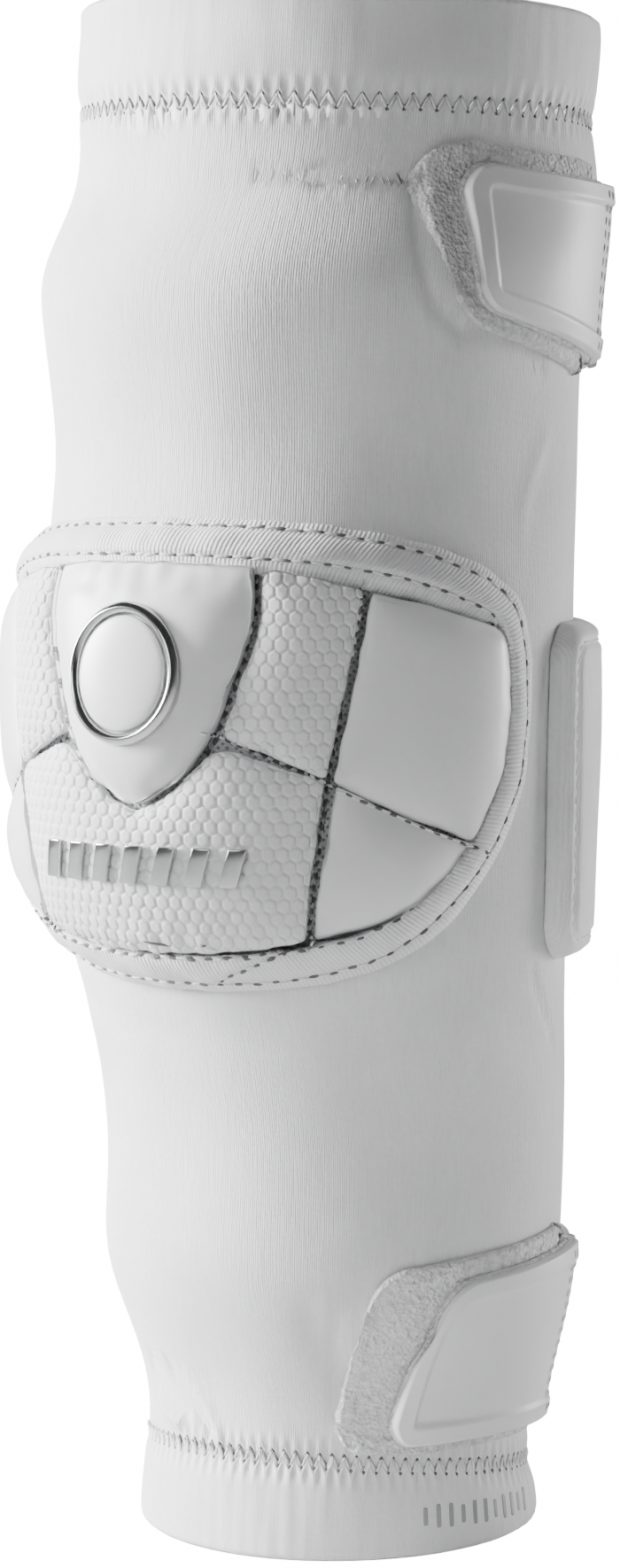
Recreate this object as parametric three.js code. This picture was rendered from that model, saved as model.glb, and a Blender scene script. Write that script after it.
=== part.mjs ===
// Elbow-length arm pad for field sports, as a pulled-on sleeve with a padded elbow cap and two
// hook-and-loop straps. Millimetres. +Z runs up the arm to the shoulder, -Y points out through the
// elbow cap and +X is the side where the straps are fastened. The origin lies inside the sleeve, on
// the arm's axis, level with the middle of the cap. Angles go round the arm from the front, -Y,
// towards +X, in degrees.
import * as THREE from 'three';

// Sleeve
const SLEEVE_HEIGHT = 337;
const HEM_BELOW_ELBOW = 173;
const ELBOW_WIDTH = 122;
const ELBOW_DEPTH = 103.7;
const BOW = 12;
const SPINE_FADE = 0.5;
const HEM_TILT_HEIGHT = 3.5;
const FABRIC_WALL = 2.6;
const PADDING = 2.6;
const PADDING_HALF_ANGLE = 118;
const PADDING_FADE_ANGLE = 24;
const CUFF_HEIGHT = 23;
const LOWER_CUFF_HEIGHT = 16.4;
const CUFF_THICKNESS = 4;
const CUFF_PROUD = 0.7;
const SEAM_GAP = 0.4;

// Elbow cap
const CAP_HALF_ANGLE = 84;
const CAP_HALF_HEIGHT = 51.5;
const CAP_CENTER_HEIGHT = 2.75;
const CAP_RIM_LIFT = 3;
const CAP_SIDE_LIFT = 7;
const CAP_NOSE_LIFT = 5.5;
const CAP_NOSE_HALF_ANGLE = 60;
const CAP_NOSE_HALF_HEIGHT = 62;
const CAP_RISE_SHARE = 0.35;
const BINDING_END_WIDTH = 10;
const BINDING_SIDE_WIDTH = 12.5;
const BINDING_ROLL = 1.2;
const PANEL_THICKNESS = 3;
const CHANNEL_WIDTH = 2.2;
const SEAM_WIDTH = 0.9;
const CENTER_PANEL_HALF_ANGLE = 21.2;
const CENTER_PANEL_TIP_BELOW = 9.5;
const CENTER_PANEL_PUFF = 3.5;
const MID_PANEL_PUFF = 0.9;
const LOWER_PANEL_PUFF = 0.9;
const SIDE_PANEL_PUFF = 1.6;
const MID_EDGE_TOP_ANGLE = 41.8;
const MID_EDGE_FOOT_ANGLE = 35;
const MID_SEAM_INNER_HEIGHT = 6;
const MID_SEAM_OUTER_DEPTH = 4;
const LOWER_EDGE_FOOT_ANGLE = 30.5;
const SIDE_SEAM_DEPTH = 1.25;

// Badge and trim on the cap
const BADGE_HALF_WIDTH = 13.6;
const BADGE_HALF_HEIGHT = 15.5;
const BADGE_ABOVE_CENTER = 18.5;
const BADGE_RIM_WIDTH = 2.6;
const BADGE_RIM_HEIGHT = 2.2;
const BADGE_PLATE_HEIGHT = 1.3;
const BADGE_DOME = 0.6;
const TRIM_BARS = 7;
const TRIM_BAR_PITCH = 7.6;
const TRIM_BAR_WIDTH = 3.8;
const TRIM_BAR_HEIGHT = 8.4;
const TRIM_BAR_SLANT = 2.6;
const TRIM_BAR_THICKNESS = 1.3;
const TRIM_BELOW_CENTER = 22.5;

// Straps, tabs and loop patches
const PATCH_THICKNESS = 1.6;
const STRAP_THICKNESS = 1.6;
const STRAP_INSIDE_TAB = 1;
const TAB_THICKNESS = 2.2;
const TAB_RIM_LIFT = 0.9;
const TAB_RIM_WIDTH = 4.2;
const UPPER_STRAP_WIDTH = 39;
const LOWER_STRAP_WIDTH = 41;
const UPPER_TAB_BELOW_TOP = 49.5;
const LOWER_TAB_ABOVE_HEM = 41.5;
const UPPER_STRAP_DROP = 12;
const LOWER_STRAP_CLIMB = 5.4;
const UPPER_TAB_NARROWING = 4.5;
const LOWER_TAB_NARROWING = 2.5;
const TAB_CORNER = 3.2;
const UPPER_TAB_START_ANGLE = 66.5;
const LOWER_TAB_START_ANGLE = 54.5;
const UPPER_TAB_SLANT = -5;
const LOWER_TAB_SLANT = 11;
const TAB_ROOT_ANGLE = 118;
const STRAP_START_ANGLE = 109;
const STRAP_END_ANGLE = 246;
const UPPER_PATCH_START_ANGLE = 58;
const LOWER_PATCH_START_ANGLE = 37;
const UPPER_PATCH_SLANT = -12;
const LOWER_PATCH_SLANT = 9;
const PATCH_END_ANGLE = 106.5;
const UPPER_PATCH_MARGIN = 3.5;
const LOWER_PATCH_MARGIN = 4.2;
const PATCH_CORNER = 4;
const PATCH_CORNER_SHARE = 0.18;

// Side pads in the crook of the elbow
const SIDE_PAD_START_ANGLE = 98;
const SIDE_PAD_END_ANGLE = 150;
const SIDE_PAD_HEIGHT = 74;
const SIDE_PAD_BELOW_CENTER = 9;
const SIDE_PAD_THICKNESS = 6.6;
const SIDE_PAD_EDGE = 1.6;

// Clearances between touching pieces
const SURFACE_GAP = 0.6;
const LAYER_GAP = 0.3;

// Mesh steps
const RING_STEPS = 42;
const BODY_ROWS = 34;
const LINING_ROWS = 7;
const CAP_STATIONS = 42;
const CAP_RINGS = 7;
const BADGE_STATIONS = 24;
const EDGE_REACH_STEPS = 180;

const DEGREE = Math.PI / 180;
const SLEEVE_FOOT = -HEM_BELOW_ELBOW;
const SLEEVE_TOP = SLEEVE_HEIGHT - HEM_BELOW_ELBOW;
const DEPTH_RATIO = ELBOW_DEPTH / ELBOW_WIDTH;
const ARM_RADIUS = ELBOW_WIDTH / 2;

// Sections of the sleeve from the lower hem up. at: share of the sleeve's height. width: share of
// the elbow's width. back: share of the bow, to the back. spine: the same, down the middle of the
// back. tilt: share of the hem's tilt, front up.
const SECTIONS = [
  { at: 0.0, width: 0.77, back: 0.49, spine: 0.49, tilt: -0.86 },
  { at: 0.012, width: 0.768, back: 0.5, spine: 0.5, tilt: 0.29 },
  { at: 0.048, width: 0.739, back: 0.46, spine: 0.46, tilt: 0.86 },
  { at: 0.071, width: 0.736, back: 0.49, spine: 0.49, tilt: 0.86 },
  { at: 0.095, width: 0.755, back: 0.475, spine: 0.475, tilt: 0.71 },
  { at: 0.119, width: 0.792, back: 0.42, spine: 0.42, tilt: 0.57 },
  { at: 0.142, width: 0.835, back: 0.35, spine: 0.35, tilt: 0.43 },
  { at: 0.166, width: 0.871, back: 0.27, spine: 0.27, tilt: 0.29 },
  { at: 0.19, width: 0.888, back: 0.245, spine: 0.245, tilt: 0.14 },
  { at: 0.248, width: 0.886, back: 0.37, spine: 0.37, tilt: 0 },
  { at: 0.307, width: 0.903, back: 0.26, spine: 0.26, tilt: 0 },
  { at: 0.354, width: 0.93, back: -0.03, spine: -0.03, tilt: 0 },
  { at: 0.425, width: 0.978, back: -0.375, spine: -0.375, tilt: 0 },
  { at: 0.513, width: 0.995, back: -0.43, spine: -0.43, tilt: 0 },
  { at: 0.602, width: 1.005, back: -0.43, spine: -0.43, tilt: 0 },
  { at: 0.66, width: 1.007, back: -0.42, spine: -0.37, tilt: 0 },
  { at: 0.707, width: 0.998, back: -0.26, spine: -0.31, tilt: 0 },
  { at: 0.743, width: 1.01, back: -0.3, spine: -0.26, tilt: 0 },
  { at: 0.778, width: 1.026, back: -0.37, spine: -0.2, tilt: 0 },
  { at: 0.813, width: 1.043, back: -0.4, spine: -0.1, tilt: 0 },
  { at: 0.837, width: 1.048, back: -0.29, spine: 0, tilt: 0.14 },
  { at: 0.872, width: 1.012, back: 0.32, spine: 0.16, tilt: 0.29 },
  { at: 0.908, width: 0.988, back: 0.46, spine: 0.32, tilt: 0.43 },
  { at: 0.932, width: 0.983, back: 0.32, spine: 0.42, tilt: 0.57 },
  { at: 0.966, width: 0.991, back: 0.55, spine: 0.52, tilt: 0.86 },
  { at: 1.0, width: 0.988, back: 0.55, spine: 0.55, tilt: 1.0 },
];

// How full the padding is up the sleeve.
const PADDING_ZONES = [
  { at: 0.0, full: 0 },
  { at: 0.09, full: 0 },
  { at: 0.19, full: 1 },
  { at: 0.36, full: 1 },
  { at: 0.48, full: 0.5 },
  { at: 0.62, full: 1 },
  { at: 0.86, full: 1 },
  { at: 0.93, full: 0 },
  { at: 1.0, full: 0 },
];

// Right half of the cap's outer edge, from the top round to the bottom. across: share of the cap's
// half angle. up: share of its half height.
const CAP_EDGE = [
  { across: 0, up: 1 },
  { across: 0.2, up: 0.995 },
  { across: 0.4, up: 0.975 },
  { across: 0.6, up: 0.92 },
  { across: 0.78, up: 0.83 },
  { across: 0.93, up: 0.7 },
  { across: 0.995, up: 0.44 },
  { across: 0.99, up: 0.0 },
  { across: 0.93, up: -0.29 },
  { across: 0.8, up: -0.59 },
  { across: 0.62, up: -0.83 },
  { across: 0.4, up: -0.945 },
  { across: 0.2, up: -0.99 },
  { across: 0, up: -1 },
];

// Places along that edge where panels meet the binding, as shares of the way from top to bottom.
const EDGE_AT_CENTER_PANEL = 0.122;
const EDGE_AT_MID_PANEL = 0.236;
const EDGE_AT_SIDE_CORNER = 0.395;
const EDGE_AT_SIDE_SEAM = 0.665;
const EDGE_AT_SIDE_FOOT = 0.745;
const EDGE_AT_LOWER_CORNER = 0.83;

// Shield outline of the centre panel. up: share of the way from its tip to its top. half: share of
// its half angle.
const SHIELD = [
  { up: 0.0, half: 0.04 },
  { up: 0.045, half: 0.24 },
  { up: 0.1, half: 0.39 },
  { up: 0.18, half: 0.52 },
  { up: 0.28, half: 0.64 },
  { up: 0.4, half: 0.74 },
  { up: 0.55, half: 0.84 },
  { up: 0.7, half: 0.94 },
  { up: 0.83, half: 1.0 },
  { up: 1.0, half: 0.97 },
];

const finish = (color, roughness, metalness = 0) =>
  new THREE.MeshStandardMaterial({ color, roughness, metalness });
const FINISHES = {
  knit: () => finish(0xf1f2f3, 0.85),
  satin: () => finish(0xf4f5f6, 0.5),
  honeycomb: () => finish(0xdfe1e4, 0.7),
  backing: () => finish(0xb4b8be, 0.8),
  tape: () => finish(0xf2f3f4, 0.75),
  loop: () => finish(0xe2e3e5, 0.95),
  rubber: () => finish(0xeeeff1, 0.45),
  chrome: () => finish(0xb9bdc2, 0.25, 0.9),
  badge: () => finish(0xe4e6e9, 0.35, 0.2),
};

const mix = THREE.MathUtils.lerp;
const clamp = THREE.MathUtils.clamp;

// Value of one column of a table at a place between its rows, eased from slope to slope.
function sample(table, key, column, place) {
  const last = table.length - 1;
  const at = clamp(place, table[0][key], table[last][key]);
  const next = Math.max(1, table.findIndex((row) => row[key] >= at));
  const slope = (i) => {
    const low = table[Math.max(0, i - 1)];
    const high = table[Math.min(last, i + 1)];
    return (high[column] - low[column]) / (high[key] - low[key]);
  };
  const start = table[next - 1];
  const end = table[next];
  const span = end[key] - start[key];
  const t = (at - start[key]) / span;
  const rise = end[column] - start[column];
  const startSlope = slope(next - 1) * span;
  const endSlope = slope(next) * span;
  const curve = (1 - t) * startSlope - t * endSlope + (2 * t - 1) * rise;
  return start[column] + t * rise + t * (1 - t) * curve;
}

// Point at an angle round the sleeve and a height, lifted off its outer surface.
function sleevePoint(angle, height, lift = 0) {
  const at = (height - SLEEVE_FOOT) / SLEEVE_HEIGHT;
  const halfWidth = (ELBOW_WIDTH / 2) * sample(SECTIONS, 'at', 'width', at);
  const tilt = HEM_TILT_HEIGHT * sample(SECTIONS, 'at', 'tilt', at);
  const turn = angle * DEGREE;
  const rear = THREE.MathUtils.smoothstep(-Math.cos(turn), SPINE_FADE, 1);
  const back = BOW * mix(
    sample(SECTIONS, 'at', 'back', at),
    sample(SECTIONS, 'at', 'spine', at),
    rear,
  );
  return new THREE.Vector3(
    (halfWidth + lift) * Math.sin(turn),
    back - (halfWidth * DEPTH_RATIO + lift) * Math.cos(turn),
    height + tilt * Math.cos(turn),
  );
}

// Wall of the sleeve: plain knit, with foam behind it except in the crook of the elbow.
function wallThickness(angle, height) {
  const full = sample(PADDING_ZONES, 'at', 'full', (height - SLEEVE_FOOT) / SLEEVE_HEIGHT);
  const beyond = (Math.abs(angle) - PADDING_HALF_ANGLE) / PADDING_FADE_ANGLE;
  return FABRIC_WALL + PADDING * full * (1 - THREE.MathUtils.smoothstep(beyond, 0, 1));
}

function signedVolume(points, faces) {
  let volume = 0;
  for (const [a, b, c] of faces) {
    volume += points[a].dot(new THREE.Vector3().crossVectors(points[b], points[c])) / 6;
  }
  return volume;
}

// Mesh of a closed set of faces, turned so that they point outwards.
function solid(name, points, faces, material) {
  const outward = signedVolume(points, faces) > 0;
  const index = faces.flatMap(([a, b, c]) => (outward ? [a, b, c] : [a, c, b]));
  const geometry = new THREE.BufferGeometry().setFromPoints(points);
  geometry.setIndex(index);
  geometry.computeVertexNormals();
  const mesh = new THREE.Mesh(geometry, material);
  mesh.name = name;
  return mesh;
}

const quad = (a, b, c, d) => [[a, b, c], [a, c, d]];

// Solid whose rings close on themselves. The rings close too, or end in a pole at each end.
function ringSolid(name, rings, material, poles = null) {
  const steps = rings[0].length;
  const points = rings.flat();
  const faces = [];
  const joins = poles ? rings.length - 1 : rings.length;
  for (let ring = 0; ring < joins; ring += 1) {
    const low = ring * steps;
    const high = ((ring + 1) % rings.length) * steps;
    for (let i = 0; i < steps; i += 1) {
      const next = (i + 1) % steps;
      faces.push(...quad(low + i, low + next, high + next, high + i));
    }
  }
  if (poles) {
    points.push(poles.start, poles.end);
    const start = points.length - 2;
    const top = (rings.length - 1) * steps;
    for (let i = 0; i < steps; i += 1) {
      const next = (i + 1) % steps;
      faces.push([start, next, i], [start + 1, top + i, top + next]);
    }
  }
  return solid(name, points, faces, material);
}

// Slab between an under and an upper surface over a grid. point(u, v, isUpper) places its corners.
function slab(name, columns, rows, point, material) {
  const points = [];
  for (const isUpper of [false, true]) {
    for (let row = 0; row <= rows; row += 1) {
      for (let column = 0; column <= columns; column += 1) {
        points.push(point(column / columns, row / rows, isUpper));
      }
    }
  }
  const layer = (columns + 1) * (rows + 1);
  const at = (column, row) => row * (columns + 1) + column;
  const faces = [];
  for (let row = 0; row < rows; row += 1) {
    for (let column = 0; column < columns; column += 1) {
      const corners = [
        at(column, row),
        at(column + 1, row),
        at(column + 1, row + 1),
        at(column, row + 1),
      ];
      faces.push(...quad(...corners.map((corner) => corner + layer)));
      faces.push(...quad(...corners.slice().reverse()));
    }
  }
  const wall = (a, b) => faces.push(...quad(a, b, b + layer, a + layer));
  for (let column = 0; column < columns; column += 1) {
    wall(at(column, 0), at(column + 1, 0));
    wall(at(column + 1, rows), at(column, rows));
  }
  for (let row = 0; row < rows; row += 1) {
    wall(at(columns, row), at(columns, row + 1));
    wall(at(0, row + 1), at(0, row));
  }
  return solid(name, points, faces, material);
}

const around = (steps, point) =>
  Array.from({ length: steps }, (_, i) => point((360 * i) / steps - 180));

// Tube of the sleeve between the two cuffs.
function sleeveBody() {
  const foot = SLEEVE_FOOT + LOWER_CUFF_HEIGHT + SEAM_GAP / 2;
  const top = SLEEVE_TOP - CUFF_HEIGHT - SEAM_GAP / 2;
  const rings = [];
  for (let row = 0; row <= BODY_ROWS; row += 1) {
    const height = mix(foot, top, row / BODY_ROWS);
    rings.push(around(RING_STEPS, (angle) => sleevePoint(angle, height)));
  }
  for (let row = LINING_ROWS; row >= 0; row -= 1) {
    const height = mix(foot, top, row / LINING_ROWS);
    const inside = (angle) => sleevePoint(angle, height, -wallThickness(angle, height));
    rings.push(around(RING_STEPS, inside));
  }
  return ringSolid('sleeve_body', rings, FINISHES.knit());
}

// Hem folded double, with rounded edges. along: share of its height. lift: share of its thickness
// from the inside out.
const CUFF_PROFILE = [
  { along: 0.0, lift: 0.25 },
  { along: 0.0, lift: 0.75 },
  { along: 0.07, lift: 1.0 },
  { along: 0.93, lift: 1.0 },
  { along: 1.0, lift: 0.7 },
  { along: 1.0, lift: 0.3 },
  { along: 0.9, lift: 0.0 },
  { along: 0.1, lift: 0.0 },
];

function cuff(name, foot, top) {
  const rings = CUFF_PROFILE.map(({ along, lift }) => {
    const height = mix(foot, top, along);
    const rise = CUFF_PROUD - CUFF_THICKNESS * (1 - lift);
    return around(RING_STEPS, (angle) => sleevePoint(angle, height, rise));
  });
  return ringSolid(name, rings, FINISHES.knit());
}

// Cap positions are angle and height pairs, held as x and y.
const capPlace = (across, up) =>
  new THREE.Vector2(across * CAP_HALF_ANGLE, CAP_CENTER_HEIGHT + up * CAP_HALF_HEIGHT);
const capEdgeCurve = new THREE.SplineCurve(CAP_EDGE.map(({ across, up }) => capPlace(across, up)));
const MM_PER_DEGREE = ARM_RADIUS * DEGREE;

// Place on the cap's edge, moved inwards over the surface. station runs 0 to 1 from the top down
// the right side and on to 2 up the left side.
function capEdge(station, inwards = 0) {
  const left = station > 1;
  const share = left ? 2 - station : station;
  const place = capEdgeCurve.getPoint(share);
  const tangent = capEdgeCurve.getTangent(share);
  if (share === 0 || share === 1) tangent.set(tangent.x, 0).normalize();
  const normal = new THREE.Vector2(tangent.y, -tangent.x * MM_PER_DEGREE * MM_PER_DEGREE);
  const scale = inwards / Math.hypot(normal.x * MM_PER_DEGREE, normal.y) || 0;
  const moved = new THREE.Vector2(
    place.x + normal.x * scale,
    place.y + normal.y * scale,
  );
  if (left) moved.x = -moved.x;
  return moved;
}

// The tape looks narrower at the top and bottom, where it climbs steeply.
function bindingInset(station) {
  const share = station > 1 ? 2 - station : station;
  const side = Math.sin(Math.PI * share) ** 2;
  return mix(BINDING_END_WIDTH, BINDING_SIDE_WIDTH, side);
}
const bindingEdge = (station, more = 0) => capEdge(station, bindingInset(station) + more);

// Reach of the cap's edge from its middle in one direction, in shares of its half sizes.
const EDGE_REACHES = Array.from({ length: EDGE_REACH_STEPS + 1 }, (_, i) => {
  const place = capEdgeCurve.getPoint(i / EDGE_REACH_STEPS);
  const across = place.x / CAP_HALF_ANGLE;
  const up = (place.y - CAP_CENTER_HEIGHT) / CAP_HALF_HEIGHT;
  return { turn: Math.atan2(across, up), reach: Math.hypot(across, up) };
});

// Height of the cap's skin over the sleeve: a low rim, a soft step up and a nose over the elbow.
function capLift(angle, height) {
  const across = Math.abs(angle) / CAP_HALF_ANGLE;
  const up = (height - CAP_CENTER_HEIGHT) / CAP_HALF_HEIGHT;
  const reach = sample(EDGE_REACHES, 'turn', 'reach', Math.atan2(across, up));
  const inside = 1 - Math.hypot(across, up) / reach;
  const short = 1 - clamp(inside / CAP_RISE_SHARE, 0, 1);
  const noseDistance = Math.hypot(
    angle / CAP_NOSE_HALF_ANGLE,
    (height - CAP_CENTER_HEIGHT) / CAP_NOSE_HALF_HEIGHT,
  );
  const nose = 0.5 + 0.5 * Math.cos(Math.PI * Math.min(1, noseDistance));
  return CAP_RIM_LIFT + CAP_SIDE_LIFT * (1 - short * short) + CAP_NOSE_LIFT * nose;
}

const skinPoint = (place, lift = 0) =>
  sleevePoint(place.x, place.y, capLift(place.x, place.y) + lift);

// Foam and backing cloth under the panels, seen in the channels between them.
function capBase() {
  const middle = capPlace(0, 0);
  const ring = (share, isUpper) =>
    Array.from({ length: CAP_STATIONS }, (_, i) => {
      const edge = bindingEdge((2 * i) / CAP_STATIONS, SEAM_GAP);
      const place = middle.clone().lerp(edge, share);
      if (isUpper) return skinPoint(place, -PANEL_THICKNESS - SURFACE_GAP);
      return sleevePoint(place.x, place.y, SURFACE_GAP);
    });
  const shares = Array.from({ length: CAP_RINGS }, (_, i) => (i + 1) / CAP_RINGS);
  const rings = [
    ...shares.map((share) => ring(share, false)),
    ...shares.slice().reverse().map((share) => ring(share, true)),
  ];
  const poles = {
    start: sleevePoint(middle.x, middle.y, SURFACE_GAP),
    end: skinPoint(middle, -PANEL_THICKNESS - SURFACE_GAP),
  };
  return ringSolid('cap_base', rings, FINISHES.backing(), poles);
}

// Tape bound round the cap's edge: a flat outer lip, a rolled top and a wall against the base.
function capBinding() {
  const ring = (share, lift) =>
    Array.from({ length: CAP_STATIONS }, (_, i) => {
      const station = (2 * i) / CAP_STATIONS;
      return lift(capEdge(station, bindingInset(station) * share));
    });
  const onSleeve = (place) => sleevePoint(place.x, place.y, SURFACE_GAP);
  const rings = [
    ring(1, onSleeve),
    ring(0, onSleeve),
    ring(0.02, (place) => skinPoint(place, -BINDING_ROLL)),
    ring(0.2, (place) => skinPoint(place)),
    ring(0.6, (place) => skinPoint(place, BINDING_ROLL / 2)),
    ring(0.97, (place) => skinPoint(place)),
  ];
  return ringSolid('cap_binding', rings, FINISHES.tape());
}

// Panel spanned between four edges. Each edge is a function of 0 to 1, left and right run upwards,
// bottom and top run to the right. Margins are the shares taken off for the channel at each side.
function panel(name, edges, margins, puff, columns, rows, material) {
  const { left, right, bottom, top } = edges;
  const corner = (v, u) => (v ? top(u) : bottom(u));
  const spanned = (u, v) => {
    const place = bottom(u).clone().multiplyScalar(1 - v).addScaledVector(top(u), v);
    place.addScaledVector(left(v), 1 - u).addScaledVector(right(v), u);
    place.addScaledVector(corner(0, 0), -(1 - u) * (1 - v)).addScaledVector(corner(0, 1), -u * (1 - v));
    return place.addScaledVector(corner(1, 0), -(1 - u) * v).addScaledVector(corner(1, 1), -u * v);
  };
  const pillow = (u) => 1 - (2 * u - 1) ** 4;
  return slab(name, columns, rows, (u, v, isUpper) => {
    const place = spanned(mix(margins.left, 1 - margins.right, u), mix(margins.bottom, 1 - margins.top, v));
    return skinPoint(place, isUpper ? puff * pillow(u) * pillow(v) : -PANEL_THICKNESS);
  }, material);
}

const straight = (from, to) => (t) => from.clone().lerp(to, t);
const alongBinding = (from, to) => (t) => bindingEdge(mix(from, to, t), SEAM_WIDTH);
const mirrored = (edge) => (t) => {
  const place = edge(t);
  return new THREE.Vector2(-place.x, place.y);
};
const mirrorEdges = ({ left, right, bottom, top }) => ({
  left: mirrored(right),
  right: mirrored(left),
  bottom: mirrored((t) => bottom(1 - t)),
  top: mirrored((t) => top(1 - t)),
});
const mirrorMargins = ({ left, right, bottom, top }) => ({ left: right, right: left, bottom, top });

const shieldTop = bindingEdge(EDGE_AT_CENTER_PANEL, SEAM_WIDTH).y;
const shieldTip = CAP_CENTER_HEIGHT - CENTER_PANEL_TIP_BELOW;
const shieldHalf = (height) =>
  CENTER_PANEL_HALF_ANGLE
  * sample(SHIELD, 'up', 'half', (height - shieldTip) / (shieldTop - shieldTip));
const midSeamInner = new THREE.Vector2(
  shieldHalf(CAP_CENTER_HEIGHT + MID_SEAM_INNER_HEIGHT),
  CAP_CENTER_HEIGHT + MID_SEAM_INNER_HEIGHT,
);
const midSeamOuter = new THREE.Vector2(
  MID_EDGE_FOOT_ANGLE,
  CAP_CENTER_HEIGHT - MID_SEAM_OUTER_DEPTH,
);
const midTop = bindingEdge(EDGE_AT_MID_PANEL, SEAM_WIDTH).setX(MID_EDGE_TOP_ANGLE);
const lowerCorner = bindingEdge(EDGE_AT_LOWER_CORNER, SEAM_WIDTH).setX(LOWER_EDGE_FOOT_ANGLE);
const sideSeamEnd = bindingEdge(EDGE_AT_SIDE_SEAM, SEAM_WIDTH);

const shieldEdge = (fromHeight) => (t) => {
  const height = mix(fromHeight, shieldTop, t);
  return new THREE.Vector2(shieldHalf(height), height);
};

function centerPanel() {
  const right = shieldEdge(shieldTip);
  const edges = {
    left: mirrored(right),
    right,
    bottom: straight(mirrored(right)(0), right(0)),
    top: (t) => {
      const share = Math.abs(2 * t - 1);
      const place = bindingEdge(EDGE_AT_CENTER_PANEL * share, SEAM_WIDTH);
      return new THREE.Vector2(right(1).x * (2 * t - 1), place.y);
    },
  };
  const margins = { left: 0, right: 0, bottom: 0, top: 0 };
  return panel('cap_center_panel', edges, margins, CENTER_PANEL_PUFF, 8, 9, FINISHES.satin());
}

const channelShare = (spanDegrees, width = CHANNEL_WIDTH) => width / (spanDegrees * MM_PER_DEGREE);

function midPanels() {
  const edges = {
    left: shieldEdge(midSeamInner.y),
    right: straight(midSeamOuter, midTop),
    bottom: straight(midSeamInner, midSeamOuter),
    top: (t) => {
      const place = bindingEdge(mix(EDGE_AT_CENTER_PANEL, EDGE_AT_MID_PANEL, t), SEAM_WIDTH);
      return place.setX(mix(shieldHalf(shieldTop), MID_EDGE_TOP_ANGLE, t));
    },
  };
  const width = MID_EDGE_TOP_ANGLE - CENTER_PANEL_HALF_ANGLE;
  const margins = { left: channelShare(width), right: channelShare(width) / 2, bottom: 0.01, top: 0 };
  return [
    panel('cap_mid_panel_right', edges, margins, MID_PANEL_PUFF, 5, 7, FINISHES.honeycomb()),
    panel('cap_mid_panel_left', mirrorEdges(edges), mirrorMargins(margins), MID_PANEL_PUFF, 5, 7,
      FINISHES.honeycomb()),
  ];
}

function lowerPanel() {
  const right = straight(lowerCorner, midSeamOuter);
  const crown = (across) => {
    if (across > midSeamInner.x) {
      const t = (across - midSeamInner.x) / (midSeamOuter.x - midSeamInner.x);
      return mix(midSeamInner.y - CHANNEL_WIDTH, midSeamOuter.y - SEAM_WIDTH, t);
    }
    const up = sample(SHIELD, 'half', 'up', across / CENTER_PANEL_HALF_ANGLE);
    return mix(shieldTip, shieldTop, up) - CHANNEL_WIDTH;
  };
  const edges = {
    left: mirrored(right),
    right,
    bottom: (t) => {
      const across = 2 * t - 1;
      const place = bindingEdge(mix(1, EDGE_AT_LOWER_CORNER, Math.abs(across)), SEAM_WIDTH);
      return place.setX(lowerCorner.x * across);
    },
    top: (t) => {
      const across = (2 * t - 1) * midSeamOuter.x;
      return new THREE.Vector2(across, crown(Math.abs(across)));
    },
  };
  const side = channelShare(2 * midSeamOuter.x) / 2;
  const margins = { left: side, right: side, bottom: 0, top: CHANNEL_WIDTH / 2 / CAP_HALF_HEIGHT };
  return panel('cap_lower_panel', edges, margins, LOWER_PANEL_PUFF, 16, 6, FINISHES.honeycomb());
}

function sidePanels() {
  const seam = (t) => {
    const place = midSeamOuter.clone().lerp(sideSeamEnd, t);
    place.y -= Math.sin(Math.PI * t) * SIDE_SEAM_DEPTH;
    return place;
  };
  const upper = {
    left: straight(midSeamOuter, midTop),
    right: alongBinding(EDGE_AT_SIDE_SEAM, EDGE_AT_SIDE_CORNER),
    bottom: seam,
    top: (t) => {
      const start = midTop.clone().multiplyScalar(1 - t);
      const place = bindingEdge(mix(EDGE_AT_MID_PANEL, EDGE_AT_SIDE_CORNER, t), SEAM_WIDTH);
      const first = bindingEdge(EDGE_AT_MID_PANEL, SEAM_WIDTH).multiplyScalar(1 - t);
      return place.add(start).sub(first);
    },
  };
  const lower = {
    left: straight(lowerCorner, midSeamOuter),
    right: alongBinding(EDGE_AT_SIDE_FOOT, EDGE_AT_SIDE_SEAM),
    bottom: (t) => {
      const place = bindingEdge(mix(EDGE_AT_LOWER_CORNER, EDGE_AT_SIDE_FOOT, t), SEAM_WIDTH);
      const first = bindingEdge(EDGE_AT_LOWER_CORNER, SEAM_WIDTH);
      return place.add(lowerCorner.clone().sub(first).multiplyScalar(1 - t));
    },
    top: seam,
  };
  const width = CAP_HALF_ANGLE - MID_EDGE_TOP_ANGLE;
  const seamShare = SEAM_WIDTH / 2 / CAP_HALF_HEIGHT;
  const upperMargins = { left: channelShare(width) / 2, right: 0, bottom: seamShare, top: 0 };
  const lowerMargins = { left: channelShare(width), right: 0, bottom: 0, top: 2 * seamShare };
  const sizes = { upper: [5, 7], lower: [5, 4] };
  const make = (name, edges, margins, size) =>
    panel(name, edges, margins, SIDE_PANEL_PUFF, ...size, FINISHES.satin());
  return [
    make('cap_side_upper_panel_right', upper, upperMargins, sizes.upper),
    make('cap_side_upper_panel_left', mirrorEdges(upper), mirrorMargins(upperMargins), sizes.upper),
    make('cap_side_lower_panel_right', lower, lowerMargins, sizes.lower),
    make('cap_side_lower_panel_left', mirrorEdges(lower), mirrorMargins(lowerMargins), sizes.lower),
  ];
}

// Height of the centre panel's puffed skin over the cap's skin.
function centerPanelPuff(angle, height) {
  const across = clamp(Math.abs(angle) / shieldHalf(height), 0, 1);
  const up = clamp((height - shieldTip) / (shieldTop - shieldTip), 0, 1);
  return CENTER_PANEL_PUFF * (1 - across ** 4) * (1 - (2 * up - 1) ** 4);
}

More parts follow.
